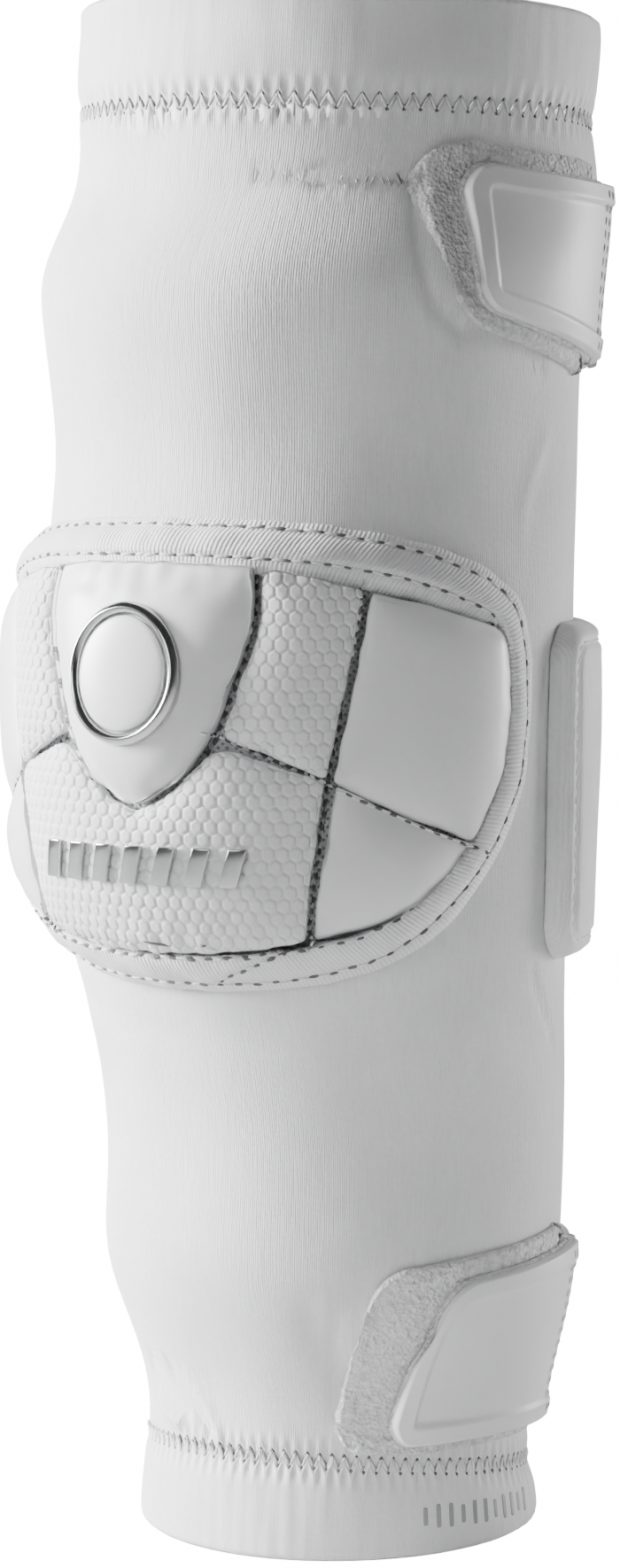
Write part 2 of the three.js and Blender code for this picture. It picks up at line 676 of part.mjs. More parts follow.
// Oval badge laid over the nose of the cap: a bevelled rim and a shallow dome inside it.
function badge() {
  const middle = CAP_CENTER_HEIGHT + BADGE_ABOVE_CENTER;
  const radius = ARM_RADIUS + CAP_NOSE_LIFT + CAP_SIDE_LIFT;
  const steps = BADGE_STATIONS;
  const oval = (inset, lift) =>
    Array.from({ length: steps }, (_, i) => {
      const turn = (2 * Math.PI * i) / steps;
      const angle = ((BADGE_HALF_WIDTH - inset) * Math.sin(turn)) / radius / DEGREE;
      const height = middle + (BADGE_HALF_HEIGHT - inset) * Math.cos(turn);
      return skinPoint(new THREE.Vector2(angle, height), centerPanelPuff(angle, height) + lift);
    });
  const rim = [
    oval(BADGE_RIM_WIDTH, LAYER_GAP),
    oval(0, LAYER_GAP),
    oval(0, BADGE_RIM_HEIGHT * 0.45),
    oval(BADGE_RIM_WIDTH * 0.35, BADGE_RIM_HEIGHT),
    oval(BADGE_RIM_WIDTH * 0.65, BADGE_RIM_HEIGHT),
    oval(BADGE_RIM_WIDTH, BADGE_PLATE_HEIGHT * 0.8),
  ];
  const plateInset = BADGE_RIM_WIDTH + LAYER_GAP;
  const inside = BADGE_HALF_WIDTH - plateInset;
  const plate = [
    oval(plateInset + inside * 0.5, LAYER_GAP),
    oval(plateInset, LAYER_GAP),
    oval(plateInset, BADGE_PLATE_HEIGHT),
    oval(plateInset + inside * 0.33, BADGE_PLATE_HEIGHT + BADGE_DOME * 0.6),
    oval(plateInset + inside * 0.66, BADGE_PLATE_HEIGHT + BADGE_DOME * 0.9),
  ];
  const pole = (lift) =>
    skinPoint(new THREE.Vector2(0, middle), centerPanelPuff(0, middle) + lift);
  const poles = { start: pole(LAYER_GAP), end: pole(BADGE_PLATE_HEIGHT + BADGE_DOME) };
  return [
    ringSolid('badge_rim', rim, FINISHES.chrome()),
    ringSolid('badge_plate', plate, FINISHES.badge(), poles),
  ];
}

// Row of plain slanted bars low on the cap.
function trimBars() {
  const radius = ARM_RADIUS + CAP_SIDE_LIFT + CAP_NOSE_LIFT / 2;
  const foot = CAP_CENTER_HEIGHT - TRIM_BELOW_CENTER - TRIM_BAR_HEIGHT / 2;
  return Array.from({ length: TRIM_BARS }, (_, i) => {
    const middle = (i - (TRIM_BARS - 1) / 2) * TRIM_BAR_PITCH;
    return slab(`trim_bar_${i + 1}`, 1, 3, (u, v, isUpper) => {
      const across = middle + (u - 0.5) * TRIM_BAR_WIDTH + (v - 0.5) * TRIM_BAR_SLANT;
      const place = new THREE.Vector2(across / radius / DEGREE, foot + v * TRIM_BAR_HEIGHT);
      const lift = LOWER_PANEL_PUFF + LAYER_GAP + (isUpper ? TRIM_BAR_THICKNESS : 0);
      return skinPoint(place, lift);
    }, FINISHES.chrome());
  });
}

const STRAPS = [
  {
    name: 'upper',
    tabHeight: SLEEVE_TOP - UPPER_TAB_BELOW_TOP,
    climb: -UPPER_STRAP_DROP,
    width: UPPER_STRAP_WIDTH,
    narrowing: UPPER_TAB_NARROWING,
    tabStart: UPPER_TAB_START_ANGLE,
    tabSlant: UPPER_TAB_SLANT,
    patchStart: UPPER_PATCH_START_ANGLE,
    patchSlant: UPPER_PATCH_SLANT,
    patchMargin: UPPER_PATCH_MARGIN,
  },
  {
    name: 'lower',
    tabHeight: SLEEVE_FOOT + LOWER_TAB_ABOVE_HEM,
    climb: LOWER_STRAP_CLIMB,
    width: LOWER_STRAP_WIDTH,
    narrowing: LOWER_TAB_NARROWING,
    tabStart: LOWER_TAB_START_ANGLE,
    tabSlant: LOWER_TAB_SLANT,
    patchStart: LOWER_PATCH_START_ANGLE,
    patchSlant: LOWER_PATCH_SLANT,
    patchMargin: LOWER_PATCH_MARGIN,
  },
];

// Middle height of a strap at an angle. It nears the elbow on its way round to the back.
function strapMiddle(strap, angle) {
  const share = clamp((angle - strap.tabStart) / (180 - strap.tabStart), 0, 1);
  return strap.tabHeight + strap.climb * (1 - (1 - share) ** 2);
}

function strapBand(strap) {
  return slab(`${strap.name}_strap`, 24, 3, (u, v, isUpper) => {
    const angle = mix(STRAP_START_ANGLE, STRAP_END_ANGLE, u);
    const height = strapMiddle(strap, angle) + (v - 0.5) * (strap.width - STRAP_INSIDE_TAB);
    return sleevePoint(angle, height, SURFACE_GAP + (isUpper ? STRAP_THICKNESS : 0));
  }, FINISHES.knit());
}

// Half width of a tab, which narrows to its free end and has rounded corners there.
function tabHalfWidth(strap, share) {
  const corner = TAB_CORNER / ((TAB_ROOT_ANGLE - strap.tabStart) * MM_PER_DEGREE);
  const short = 1 - Math.min(1, share / corner);
  const rounded = TAB_CORNER * (1 - Math.sqrt(1 - short * short));
  return strap.width / 2 - rounded - strap.narrowing * (1 - share);
}

// Moulded tab over the loop patch, with a raised rim round a flat field.
function tab(strap) {
  const columns = 11;
  const rimShare = TAB_RIM_WIDTH / strap.width;
  const acrossSteps = [0, rimShare * 0.25, rimShare, rimShare * 1.25, 0.32, 0.5];
  const rows = [...acrossSteps, ...acrossSteps.slice(0, -1).reverse().map((share) => 1 - share)];
  const lengthShare = TAB_RIM_WIDTH / ((TAB_ROOT_ANGLE - strap.tabStart) * MM_PER_DEGREE);
  const places = [0, 0.25 * lengthShare, lengthShare, 1.25 * lengthShare];
  for (let i = 1; i <= columns - 3; i += 1) {
    places.push(mix(1.25 * lengthShare, 1, i / (columns - 3)));
  }
  const inRim = (share, rim) => share < rim * 1.1 || share > 1 - rim * 1.1;
  return slab(`${strap.name}_tab`, columns, rows.length - 1, (u, v, isUpper) => {
    const share = places[Math.round(u * columns)];
    const row = rows[Math.round(v * (rows.length - 1))];
    const start = strap.tabStart + strap.tabSlant * (row - 0.5);
    const angle = mix(start, TAB_ROOT_ANGLE, share);
    const height = strapMiddle(strap, angle) + (2 * row - 1) * tabHalfWidth(strap, share);
    const under = SURFACE_GAP + PATCH_THICKNESS + SURFACE_GAP;
    const onEdge = row === 0 || row === 1 || share === 0;
    const raised = inRim(row, rimShare) || share < lengthShare * 1.1;
    const top = TAB_THICKNESS + (raised && !onEdge ? TAB_RIM_LIFT : 0);
    return sleevePoint(angle, height, under + (isUpper ? top : 0));
  }, FINISHES.rubber());
}

function loopPatch(strap) {
  return slab(`${strap.name}_loop_patch`, 12, 5, (u, v, isUpper) => {
    const start = strap.patchStart + strap.patchSlant * (v - 0.5);
    const angle = mix(start, PATCH_END_ANGLE, u);
    const corner = PATCH_CORNER * Math.max(0, 1 - u / PATCH_CORNER_SHARE) ** 2;
    const half = strap.width / 2 - strap.narrowing * (1 - u) + strap.patchMargin - corner;
    const height = strapMiddle(strap, angle) + (2 * v - 1) * half;
    return sleevePoint(angle, height, SURFACE_GAP + (isUpper ? PATCH_THICKNESS : 0));
  }, FINISHES.loop());
}

// Soft pad beside the crook of the elbow, thick in the middle and thin at its sewn edges.
function sidePad(name, side) {
  const middle = CAP_CENTER_HEIGHT - SIDE_PAD_BELOW_CENTER;
  return slab(name, 7, 6, (u, v, isUpper) => {
    const angle = side * mix(SIDE_PAD_START_ANGLE, SIDE_PAD_END_ANGLE, u);
    const rounded = 1 - 0.14 * (2 * u - 1) ** 4;
    const height = middle + (v - 0.5) * SIDE_PAD_HEIGHT * rounded;
    const dome = Math.sqrt(Math.sin(Math.PI * u) * Math.sin(Math.PI * v));
    const thick = SIDE_PAD_EDGE + (SIDE_PAD_THICKNESS - SIDE_PAD_EDGE) * dome;
    return sleevePoint(angle, height, SURFACE_GAP + (isUpper ? thick : 0));
  }, FINISHES.knit());
}

const armPad = new THREE.Group();
armPad.add(
  sleeveBody(),
  cuff('upper_cuff', SLEEVE_TOP - CUFF_HEIGHT + SEAM_GAP / 2, SLEEVE_TOP),
  cuff('lower_cuff', SLEEVE_FOOT, SLEEVE_FOOT + LOWER_CUFF_HEIGHT - SEAM_GAP / 2),
  capBase(),
  capBinding(),
  centerPanel(),
  ...midPanels(),
  lowerPanel(),
  ...sidePanels(),
  ...badge(),
  ...trimBars(),
  ...STRAPS.map(strapBand),
  ...STRAPS.map(loopPatch),
  ...STRAPS.map(tab),
  sidePad('side_pad_right', 1),
  sidePad('side_pad_left', -1),
);

export default armPad;
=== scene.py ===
"""Looks of the arm pad: padded knit sleeve, cuffs, elbow cap, badge, straps, tabs and side pads."""

import logging
import math
from collections.abc import Callable, Sequence
from dataclasses import dataclass, field
from enum import Enum
from functools import partial

import bpy
import numpy as np
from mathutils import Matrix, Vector
from mathutils.bvhtree import BVHTree
from mathutils.kdtree import KDTree


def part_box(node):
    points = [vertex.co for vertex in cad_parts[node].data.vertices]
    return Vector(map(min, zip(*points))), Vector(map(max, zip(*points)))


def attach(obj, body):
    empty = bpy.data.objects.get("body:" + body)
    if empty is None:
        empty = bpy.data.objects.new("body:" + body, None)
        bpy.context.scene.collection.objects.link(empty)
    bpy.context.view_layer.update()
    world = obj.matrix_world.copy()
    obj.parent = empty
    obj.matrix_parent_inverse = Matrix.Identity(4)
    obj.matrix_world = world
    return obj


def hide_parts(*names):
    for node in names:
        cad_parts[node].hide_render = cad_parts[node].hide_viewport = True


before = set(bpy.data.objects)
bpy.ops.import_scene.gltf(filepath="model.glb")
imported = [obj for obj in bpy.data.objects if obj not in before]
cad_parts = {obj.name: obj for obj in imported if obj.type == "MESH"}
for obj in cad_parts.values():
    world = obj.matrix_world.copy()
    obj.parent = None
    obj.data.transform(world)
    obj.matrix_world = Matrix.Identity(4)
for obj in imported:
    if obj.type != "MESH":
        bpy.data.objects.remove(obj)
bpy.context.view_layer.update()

LOG = logging.getLogger("arm_pad")
MM = 0.001
ARM_RADIUS = 61 * MM
METRES_PER_DEGREE = math.radians(ARM_RADIUS)
Place = tuple[float, float]


# Small tools


def deselect_all() -> None:
    """Leaves edit mode with nothing selected."""
    if bpy.context.object and bpy.context.object.mode != "OBJECT":
        bpy.ops.object.mode_set(mode="OBJECT")
    bpy.ops.object.select_all(action="DESELECT")


def pick(*pieces: bpy.types.Object) -> None:
    """Leaves edit mode and makes these pieces the only ones selected, the first one active.

    Args:
        pieces: The objects to select.
    """
    deselect_all()
    for piece in pieces:
        piece.select_set(True)
    bpy.context.view_layer.objects.active = pieces[0]


def edit_whole(piece: bpy.types.Object, *operators: Callable[[], object]) -> None:
    """Runs operators in edit mode on all of a piece.

    Args:
        piece: The object.
        operators: Blender's mesh operators, in order.
    """
    pick(piece)
    bpy.ops.object.mode_set(mode="EDIT")
    bpy.ops.mesh.select_all(action="SELECT")
    for operator in operators:
        operator()
    bpy.ops.object.mode_set(mode="OBJECT")


def flat_grid(name: str, columns: int, rows: int) -> bpy.types.Object:
    """Adds a flat grid, one unit by one, as the start of a piece.

    Args:
        name: The piece's name.
        columns: Faces along X.
        rows: Faces along Y.

    Returns:
        The grid.
    """
    deselect_all()
    bpy.ops.mesh.primitive_grid_add(x_subdivisions=columns, y_subdivisions=rows, size=1)
    grid = bpy.context.object
    grid.name = grid.data.name = name
    return grid


def finish_with(piece: bpy.types.Object, kind: str, **settings: object) -> None:
    """Adds one modifier to a piece and applies it.

    Args:
        piece: The object.
        kind: Blender's name of the modifier's type.
        settings: The modifier's own settings.
    """
    pick(piece)
    modifier = piece.modifiers.new(kind.title(), kind)
    for key, value in settings.items():
        setattr(modifier, key, value)
    bpy.ops.object.modifier_apply(modifier=modifier.name)


def smooth_over(piece: bpy.types.Object, levels: int) -> None:
    """Applies a subdivision surface of so many levels to a piece."""
    finish_with(piece, "SUBSURF", levels=levels, render_levels=levels)


def copy_of(node: str, name: str) -> bpy.types.Object:
    """Copies a solid of the frame as a new piece with merged corners and four-sided faces.

    Args:
        node: The solid's name.
        name: The new piece's name.

    Returns:
        The new piece.
    """
    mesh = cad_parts[node].data.copy()
    mesh.name = name
    mesh.materials.clear()
    piece = bpy.data.objects.new(name, mesh)
    bpy.context.scene.collection.objects.link(piece)
    pick(piece)
    bpy.ops.mesh.customdata_custom_splitnormals_clear()
    to_quads = partial(bpy.ops.mesh.tris_convert_to_quads, face_threshold=math.radians(45),
                       shape_threshold=math.radians(60))
    edit_whole(piece, partial(bpy.ops.mesh.remove_doubles, threshold=0.001 * MM), to_quads)
    bpy.ops.object.shade_smooth()
    return piece


def rows_of(items: bpy.types.bpy_prop_collection, key: str) -> np.ndarray:
    """Three numbers of each item of a mesh, one row each.

    Args:
        items: The mesh's vertices, normals or the like.
        key: Name of what is read.

    Returns:
        The rows.
    """
    flat = np.empty(len(items) * 3)
    items.foreach_get(key, flat)
    return flat.reshape(-1, 3)


def points_of(piece: bpy.types.Object) -> np.ndarray:
    """Places of a piece's vertices, one row each."""
    return rows_of(piece.data.vertices, "co")


def normals_of(piece: bpy.types.Object) -> np.ndarray:
    """Normals of a piece's vertices, one row each."""
    return rows_of(piece.data.vertex_normals, "vector")


def move_points(piece: bpy.types.Object, places: np.ndarray) -> None:
    """Puts a piece's vertices at new places."""
    piece.data.vertices.foreach_set("co", places.reshape(-1))
    piece.data.update()


def step(value: np.ndarray, start: float, end: float) -> np.ndarray:
    """Eases from 0 at start to 1 at end.

    Args:
        value: Where to take it.
        start: Where it leaves 0.
        end: Where it reaches 1.

    Returns:
        The eased share at each value.
    """
    share = np.clip((value - start) / (end - start), 0, 1)
    return share * share * (3 - 2 * share)


def rolled(inset: float, radius: float) -> float:
    """Share of its full height that a rounded edge has reached, so far in from the outline."""
    return math.sqrt(max(0.0, 1 - (1 - min(1.0, inset / radius)) ** 2))


def level_ways(spots: np.ndarray) -> np.ndarray:
    """Level unit directions from the upright axis to points, one row each."""
    way = np.stack([spots[:, 0], spots[:, 1], np.zeros(len(spots))], axis=1)
    return way / np.linalg.norm(way, axis=1)[:, None]


def smooth_noise(x: np.ndarray, y: np.ndarray, seed: int, waves: int = 9) -> np.ndarray:
    """Soft seeded bumps over a plane, about one unit apart and between -1 and 1.

    Args:
        x: First coordinate, in units.
        y: Second coordinate, in units.
        seed: Seed of the waves' turns and phases.
        waves: How many waves are added.

    Returns:
        The bumps' height at each point.
    """
    rng = np.random.default_rng(seed)
    total = np.zeros_like(x)
    for turn, phase, size in rng.uniform((0, 0, 0.6), (math.tau, math.tau, 1.7), (waves, 3)):
        total += np.sin((x * math.cos(turn) + y * math.sin(turn)) * math.pi * size + phase)
    return total / math.sqrt(waves)


# The arm and what lies on it


@dataclass
class Arm:
    """The sleeve's own outer surface, as a place to measure from.

    Angles go round from the front towards the side with the tabs, in degrees, and heights go up
    the arm from the middle of the elbow.
    """

    radius: float = ARM_RADIUS
    depth_share: float = 0.85
    slices: int = 60
    heights: np.ndarray = field(init=False)
    middles: np.ndarray = field(init=False)

    def __post_init__(self) -> None:
        """Finds the middle line from the sleeve's and the cuffs' solids."""
        meshes = [points_of(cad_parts[n]) for n in ("sleeve_body", "upper_cuff", "lower_cuff")]
        spots = np.vstack(meshes)
        self.heights = np.linspace(spots[:, 2].min(), spots[:, 2].max(), self.slices)
        reach = (self.heights[1] - self.heights[0]) * 1.6
        rows = [spots[np.abs(spots[:, 2] - z) < reach] for z in self.heights]
        self.middles = np.array([row[np.argmax(np.abs(row[:, 0]))][1] for row in rows])
        soft = np.convolve(np.pad(self.middles, 2, mode="edge"), np.ones(5) / 5, mode="valid")
        self.middles = soft

    def middle(self, height: np.ndarray | float) -> np.ndarray | float:
        """Depth of the middle line at a height."""
        return np.interp(height, self.heights, self.middles)

    def unrolled(self, spots: np.ndarray) -> tuple[np.ndarray, np.ndarray]:
        """Places as angles and heights.

        Args:
            spots: Points, one row each.

        Returns:
            The angles in degrees and the heights in metres.
        """
        back = -(spots[:, 1] - self.middle(spots[:, 2])) / self.depth_share
        return np.degrees(np.arctan2(spots[:, 0], back)), spots[:, 2]

    def outward(self, angle: float) -> Vector:
        """Level direction in which the surface is looked up at an angle."""
        turn = math.radians(angle)
        return Vector((math.sin(turn), -self.depth_share * math.cos(turn), 0)).normalized()


class Skin:
    """The outside of some pieces, on which stitches and trim are laid."""

    def __init__(self, arm: Arm, pieces: Sequence[bpy.types.Object]) -> None:
        """Keeps the pieces' faces.

        Args:
            arm: The arm that angles and heights are measured on.
            pieces: The pieces whose outside counts.
        """
        self.arm = arm
        corners: list[Vector] = []
        faces: list[list[int]] = []
        for piece in pieces:
            start = len(corners)
            corners += [vertex.co.copy() for vertex in piece.data.vertices]
            faces += [[start + i for i in face.vertices] for face in piece.data.polygons]
        self.tree = BVHTree.FromPolygons(corners, faces)

    def at(self, angle: float, height: float) -> tuple[Vector, Vector]:
        """Point and normal of the outside at an angle and a height.

        Args:
            angle: Degrees round the arm.
            height: Metres up the arm.

        Returns:
            The point and the normal there.
        """
        way = self.arm.outward(angle)
        core = Vector((0, float(self.arm.middle(height)), height))
        spot, normal, _, _ = self.tree.ray_cast(core + way * 0.2, -way, 0.2)
        if spot is None:
            spot, normal, _, _ = self.tree.find_nearest(core + way * self.arm.radius)
        return spot, normal

    def trace(self, path: Sequence[Place], pitch: float, closed: bool = False) -> list["Spot"]:
        """Evenly spaced spots along a path of angles and heights.

        Args:
            path: The path's places.
            pitch: Distance between spots, in metres.
            closed: Whether the path runs back to its start.

        Returns:
            The spots, each with its direction along the path and its normal.
        """
        places = list(path) + ([path[0]] if closed else [])
        found = [self.at(angle, height) for angle, height in places]
        spots = np.array([spot for spot, _ in found])
        normals = np.array([normal for _, normal in found])
        length = np.concatenate([[0], np.cumsum(np.linalg.norm(np.diff(spots, axis=0), axis=1))])
        count = max(2, round(length[-1] / pitch))
        marks = np.linspace(0, length[-1], count, endpoint=not closed)
        place = np.stack([np.interp(marks, length, spots[:, i]) for i in range(3)], axis=1)
        normal = np.stack([np.interp(marks, length, normals[:, i]) for i in range(3)], axis=1)
        if closed:
            along = np.roll(place, -1, axis=0) - np.roll(place, 1, axis=0)
        else:
            along = np.gradient(place, axis=0)
        return [Spot(*row) for row in zip(place, along, normal)]


@dataclass
class Spot:
    """A place on the pad with its direction along a path and its outward normal."""

    place: np.ndarray
    along: np.ndarray
    normal: np.ndarray

    def axes(self, turn: float = 0.0) -> np.ndarray:
        """Unit axes at the place, turned on the surface.

        Args:
            turn: How far they are turned, in degrees.

        Returns:
            Rows for along, across and out.
        """
        out = self.normal / np.linalg.norm(self.normal)
        along = self.along - out * (self.along @ out)
        along /= np.linalg.norm(along)
        across = np.cross(out, along)
        c, s = math.cos(math.radians(turn)), math.sin(math.radians(turn))
        return np.array([along * c + across * s, across * c - along * s, out])

    @staticmethod
    def upright(place: Vector, normal: Vector) -> "Spot":
        """A spot whose direction is up the arm."""
        return Spot(np.array(place), np.array((0, 0, 1.0)), np.array(normal))


def sized(axes: np.ndarray, length: float, width: float, height: float) -> np.ndarray:
    """Unit axes made as long as a stamped shape is long, wide and high."""
    return axes * np.array([[length], [width], [height]])


class Stamp:
    """A small shape that is modelled once and set down many times as one joined piece."""

    def __init__(self, unit: bpy.types.Object) -> None:
        """Keeps the unit's mesh and removes its object.

        Args:
            unit: The modelled shape, lying along X with Z outwards.
        """
        self.corners = points_of(unit)
        self.faces = [tuple(face.vertices) for face in unit.data.polygons]
        bpy.data.objects.remove(unit)

    def set_down(self, name: str, frames: Sequence[tuple[np.ndarray, np.ndarray]]) -> bpy.types.Object:
        """Copies the shape to each frame.

        Args:
            name: The joined piece's name.
            frames: Origins and 3 by 3 axes, whose rows may be longer or shorter than one.

        Returns:
            The joined piece.
        """
        corners = [self.corners @ axes + origin for origin, axes in frames]
        size = len(self.corners)
        faces = [
            tuple(i + size * copy for i in face)
            for copy in range(len(frames))
            for face in self.faces
        ]
        mesh = bpy.data.meshes.new(name)
        mesh.from_pydata(np.vstack(corners).tolist(), [], faces)
        piece = bpy.data.objects.new(name, mesh)
        bpy.context.scene.collection.objects.link(piece)
        pick(piece)
        bpy.ops.object.shade_smooth()
        return piece


def stitch_unit() -> Stamp:
    """Models one stitch of thread, one unit long, wide and high, with its ends sunk in.

    Returns:
        The stitch's stamp.
    """
    deselect_all()
    bpy.ops.mesh.primitive_uv_sphere_add(segments=8, ring_count=6, radius=0.5)
    unit = bpy.context.object
    spots = points_of(unit)[:, [2, 0, 1]]
    sunk_ends = 0.35 * np.abs(spots[:, 0] * 2) ** 2
    spots[:, 2] -= sunk_ends
    move_points(unit, spots)
    edit_whole(unit, partial(bpy.ops.mesh.normals_make_consistent, inside=False))
    return Stamp(unit)


def hole_shade_unit() -> Stamp:
    """Models one blob of painted shade for a needle puncture, one unit across.

    Returns:
        The painted shade blob's stamp.
    """
    deselect_all()
    bpy.ops.mesh.primitive_uv_sphere_add(segments=8, ring_count=4, radius=0.5)
    return Stamp(bpy.context.object)


def fine(path: Sequence[Place], parts: int = 24) -> list[Place]:
    """Divides a path of straight lines.

    Args:
        path: The path's places.
        parts: How many parts each line is given.

    Returns:
        The path with places close together.
    """
    found: list[Place] = []
    for (a0, h0), (a1, h1) in zip(path, path[1:]):
        for t in np.linspace(0, 1, parts, endpoint=False):
            found.append((a0 + (a1 - a0) * t, h0 + (h1 - h0) * t))
    return found + [path[-1]]


def lay_flat(piece: bpy.types.Object, along: np.ndarray, up: np.ndarray, whole: float) -> None:
    """Lays a piece's flat map, in which no face is stretched over the place where it starts anew.

    Args:
        piece: The piece.
        along: Metres along the map at each vertex.
        up: Metres up the map at each vertex.
        whole: Length after which the map starts anew.
    """
    mesh = piece.data
    corner = np.empty(len(mesh.loops), dtype=np.int64)
    mesh.loops.foreach_get("vertex_index", corner)
    starts = np.empty(len(mesh.polygons), dtype=np.int64)
    mesh.polygons.foreach_get("loop_start", starts)
    totals = np.empty(len(mesh.polygons), dtype=np.int64)
    mesh.polygons.foreach_get("loop_total", totals)
    reach = along[corner]
    first = np.repeat(reach[starts], totals)
    reach = reach - whole * np.round((reach - first) / whole)
    layer = mesh.uv_layers.get("Flat") or mesh.uv_layers.new(name="Flat")
    layer.data.foreach_set("uv", np.stack([reach, up[corner]], axis=1).reshape(-1))


def lay_map(piece: bpy.types.Object, arm: Arm) -> None:
    """Gives a piece a flat map in metres: round the arm, and up it."""
    angles, heights = arm.unrolled(points_of(piece))
    lay_flat(piece, np.radians(angles) * arm.radius, heights, math.tau * arm.radius)


# Finishes


class Pattern(Enum):
    """What a surface shows close up."""

    KNIT = "fine upright ribs"
    SATIN = "smooth coated cloth"
    HONEYCOMB = "grain on embossed cells"
    MESH = "open net"
    TAPE = "woven ribs across a tape"
    PILE = "fuzzy loops"
    RUBBER = "moulded rubber"
    METAL = "bright trim"
    THREAD = "twisted thread"
    PLAIN = "fine grain"


@dataclass(frozen=True)
class Finish:
    """Colour, gloss and relief of one kind of surface."""

    name: str
    pattern: Pattern
    light: tuple[float, float, float]
    dark: tuple[float, float, float]
    roughness: float
    pitch: float
    relief: float
    metallic: float = 0.0
    sheen: float = 0.0
    coat: float = 0.0
    strength: float = 0.6


class Paint:
    """Builds the node trees of the finishes, each one once."""

    bands_per_metre: float = 0.31416
    knit_streaks: float = 0.72
    weft_share: float = 0.2

    def __init__(self) -> None:
        """Starts with no materials made."""
        self.made: dict[str, bpy.types.Material] = {}
        self.clouds = self._cloud_group()

    @staticmethod
    def _node(tree: bpy.types.NodeTree, kind: str, **inputs: object) -> bpy.types.Node:
        """Adds a node and sets some of its inputs.

        Args:
            tree: Where it is added.
            kind: Blender's name of the node's type.
            inputs: Values by input, with an underscore for each space in its name.

        Returns:
            The node.
        """
        node = tree.nodes.new(kind)
        for name, value in inputs.items():
            node.inputs[name.replace("_", " ")].default_value = value
        return node

    def _cloud_group(self) -> bpy.types.NodeTree:
        """Group of slow and fine noise: a mask for tone and a height for grain.

        Returns:
            The node group.
        """
        group = bpy.data.node_groups.new("cloth_clouds", "ShaderNodeTree")
        for name, way, kind in (("Vector", "INPUT", "Vector"), ("Fine Scale", "INPUT", "Float"),
                                ("Mask", "OUTPUT", "Float"), ("Grain", "OUTPUT", "Float")):
            group.interface.new_socket(name, in_out=way, socket_type=f"NodeSocket{kind}")
        given = self._node(group, "NodeGroupInput")
        out = self._node(group, "NodeGroupOutput")
        slow = self._node(group, "ShaderNodeTexNoise", Scale=28, Detail=3)
        fine = self._node(group, "ShaderNodeTexNoise", Detail=2)
        blend = self._node(group, "ShaderNodeMath")
        blend.operation = "MULTIPLY_ADD"
        blend.inputs[1].default_value = 0.35
        shift = self._node(group, "ShaderNodeMath")
        shift.operation = "SUBTRACT"
        shift.inputs[1].default_value = 0.18
        shift.use_clamp = True
        links = group.links
        links.new(given.outputs["Vector"], slow.inputs["Vector"])
        links.new(given.outputs["Vector"], fine.inputs["Vector"])
        links.new(given.outputs["Fine Scale"], fine.inputs["Scale"])
        links.new(fine.outputs["Fac"], blend.inputs[0])
        links.new(slow.outputs["Fac"], blend.inputs[2])
        links.new(blend.outputs[0], shift.inputs[0])
        links.new(shift.outputs[0], out.inputs["Mask"])
        links.new(fine.outputs["Fac"], out.inputs["Grain"])
        return group

    def of(self, finish: Finish) -> bpy.types.Material:
        """The material of a finish.

        Args:
            finish: The finish.

        Returns:
            Its material, made on the first call.
        """
        if finish.name not in self.made:
            self.made[finish.name] = self._build(finish)
        return self.made[finish.name]

    def _build(self, finish: Finish) -> bpy.types.Material:
        """Makes one material.

        Args:
            finish: The finish.

        Returns:
            The new material.
        """
        material = bpy.data.materials.new(finish.name)
        material.use_nodes = True
        tree = material.node_tree
        links = tree.links
        shader = tree.nodes["Principled BSDF"]
        shader.inputs["Metallic"].default_value = finish.metallic
        shader.inputs["Sheen Weight"].default_value = finish.sheen
        shader.inputs["Sheen Roughness"].default_value = 0.5
        shader.inputs["Coat Weight"].default_value = finish.coat
        shader.inputs["Coat Roughness"].default_value = 0.3
        place = self._node(tree, "ShaderNodeTexCoord")
        clouds = self._node(tree, "ShaderNodeGroup")
        clouds.node_tree = self.clouds
        clouds.inputs["Fine Scale"].default_value = 0.55 / finish.pitch
        links.new(place.outputs["Object"], clouds.inputs["Vector"])
        height, mask = self._relief(finish, tree, place, clouds)
        tones = self._node(tree, "ShaderNodeValToRGB")
        ends = zip(tones.color_ramp.elements, (finish.dark, finish.light), (0.15, 0.65))
        for element, colour, position in ends:
            element.color = (*colour, 1)
            element.position = position
        links.new(mask, tones.inputs["Fac"])
        links.new(tones.outputs["Color"], shader.inputs["Base Color"])
        rough = self._node(tree, "ShaderNodeMapRange", To_Min=finish.roughness - 0.06,
                           To_Max=finish.roughness + 0.06)
        links.new(clouds.outputs["Mask"], rough.inputs["Value"])
        links.new(rough.outputs["Result"], shader.inputs["Roughness"])
        bump = self._node(tree, "ShaderNodeBump", Strength=finish.strength, Distance=finish.relief)
        links.new(height, bump.inputs["Height"])
        links.new(bump.outputs["Normal"], shader.inputs["Normal"])
        return material

    def _relief(
        self,
        finish: Finish,
        tree: bpy.types.NodeTree,
        place: bpy.types.Node,
        clouds: bpy.types.Node,
    ) -> tuple[bpy.types.NodeSocket, bpy.types.NodeSocket]:
        """Adds the nodes of a pattern's relief and tone.

        Args:
            finish: The finish.
            tree: The material's tree.
            place: The texture coordinates.
            clouds: The noise group's node.

        Returns:
            The sockets of the height and of the tone's mask.
        """
        grain, tone = clouds.outputs["Grain"], clouds.outputs["Mask"]
        if finish.pattern in (Pattern.KNIT, Pattern.TAPE):
            wave = self._ribs(tree, finish.pitch, finish.pattern is Pattern.TAPE)
            return self._mixed(tree, wave, grain, 0.45), self._mixed(tree, tone, wave, 0.5)
        if finish.pattern is Pattern.MESH:
            net = self._net(tree, finish.pitch)
            return net, self._mixed(tree, tone, net, 0.75)
        if finish.pattern is Pattern.PILE:
            cells = self._node(tree, "ShaderNodeTexVoronoi", Scale=1 / finish.pitch)
            tree.links.new(place.outputs["Object"], cells.inputs["Vector"])
            height = self._mixed(tree, grain, cells.outputs["Distance"], 0.4)
            return height, self._mixed(tree, tone, grain, 0.5)
        return grain, tone

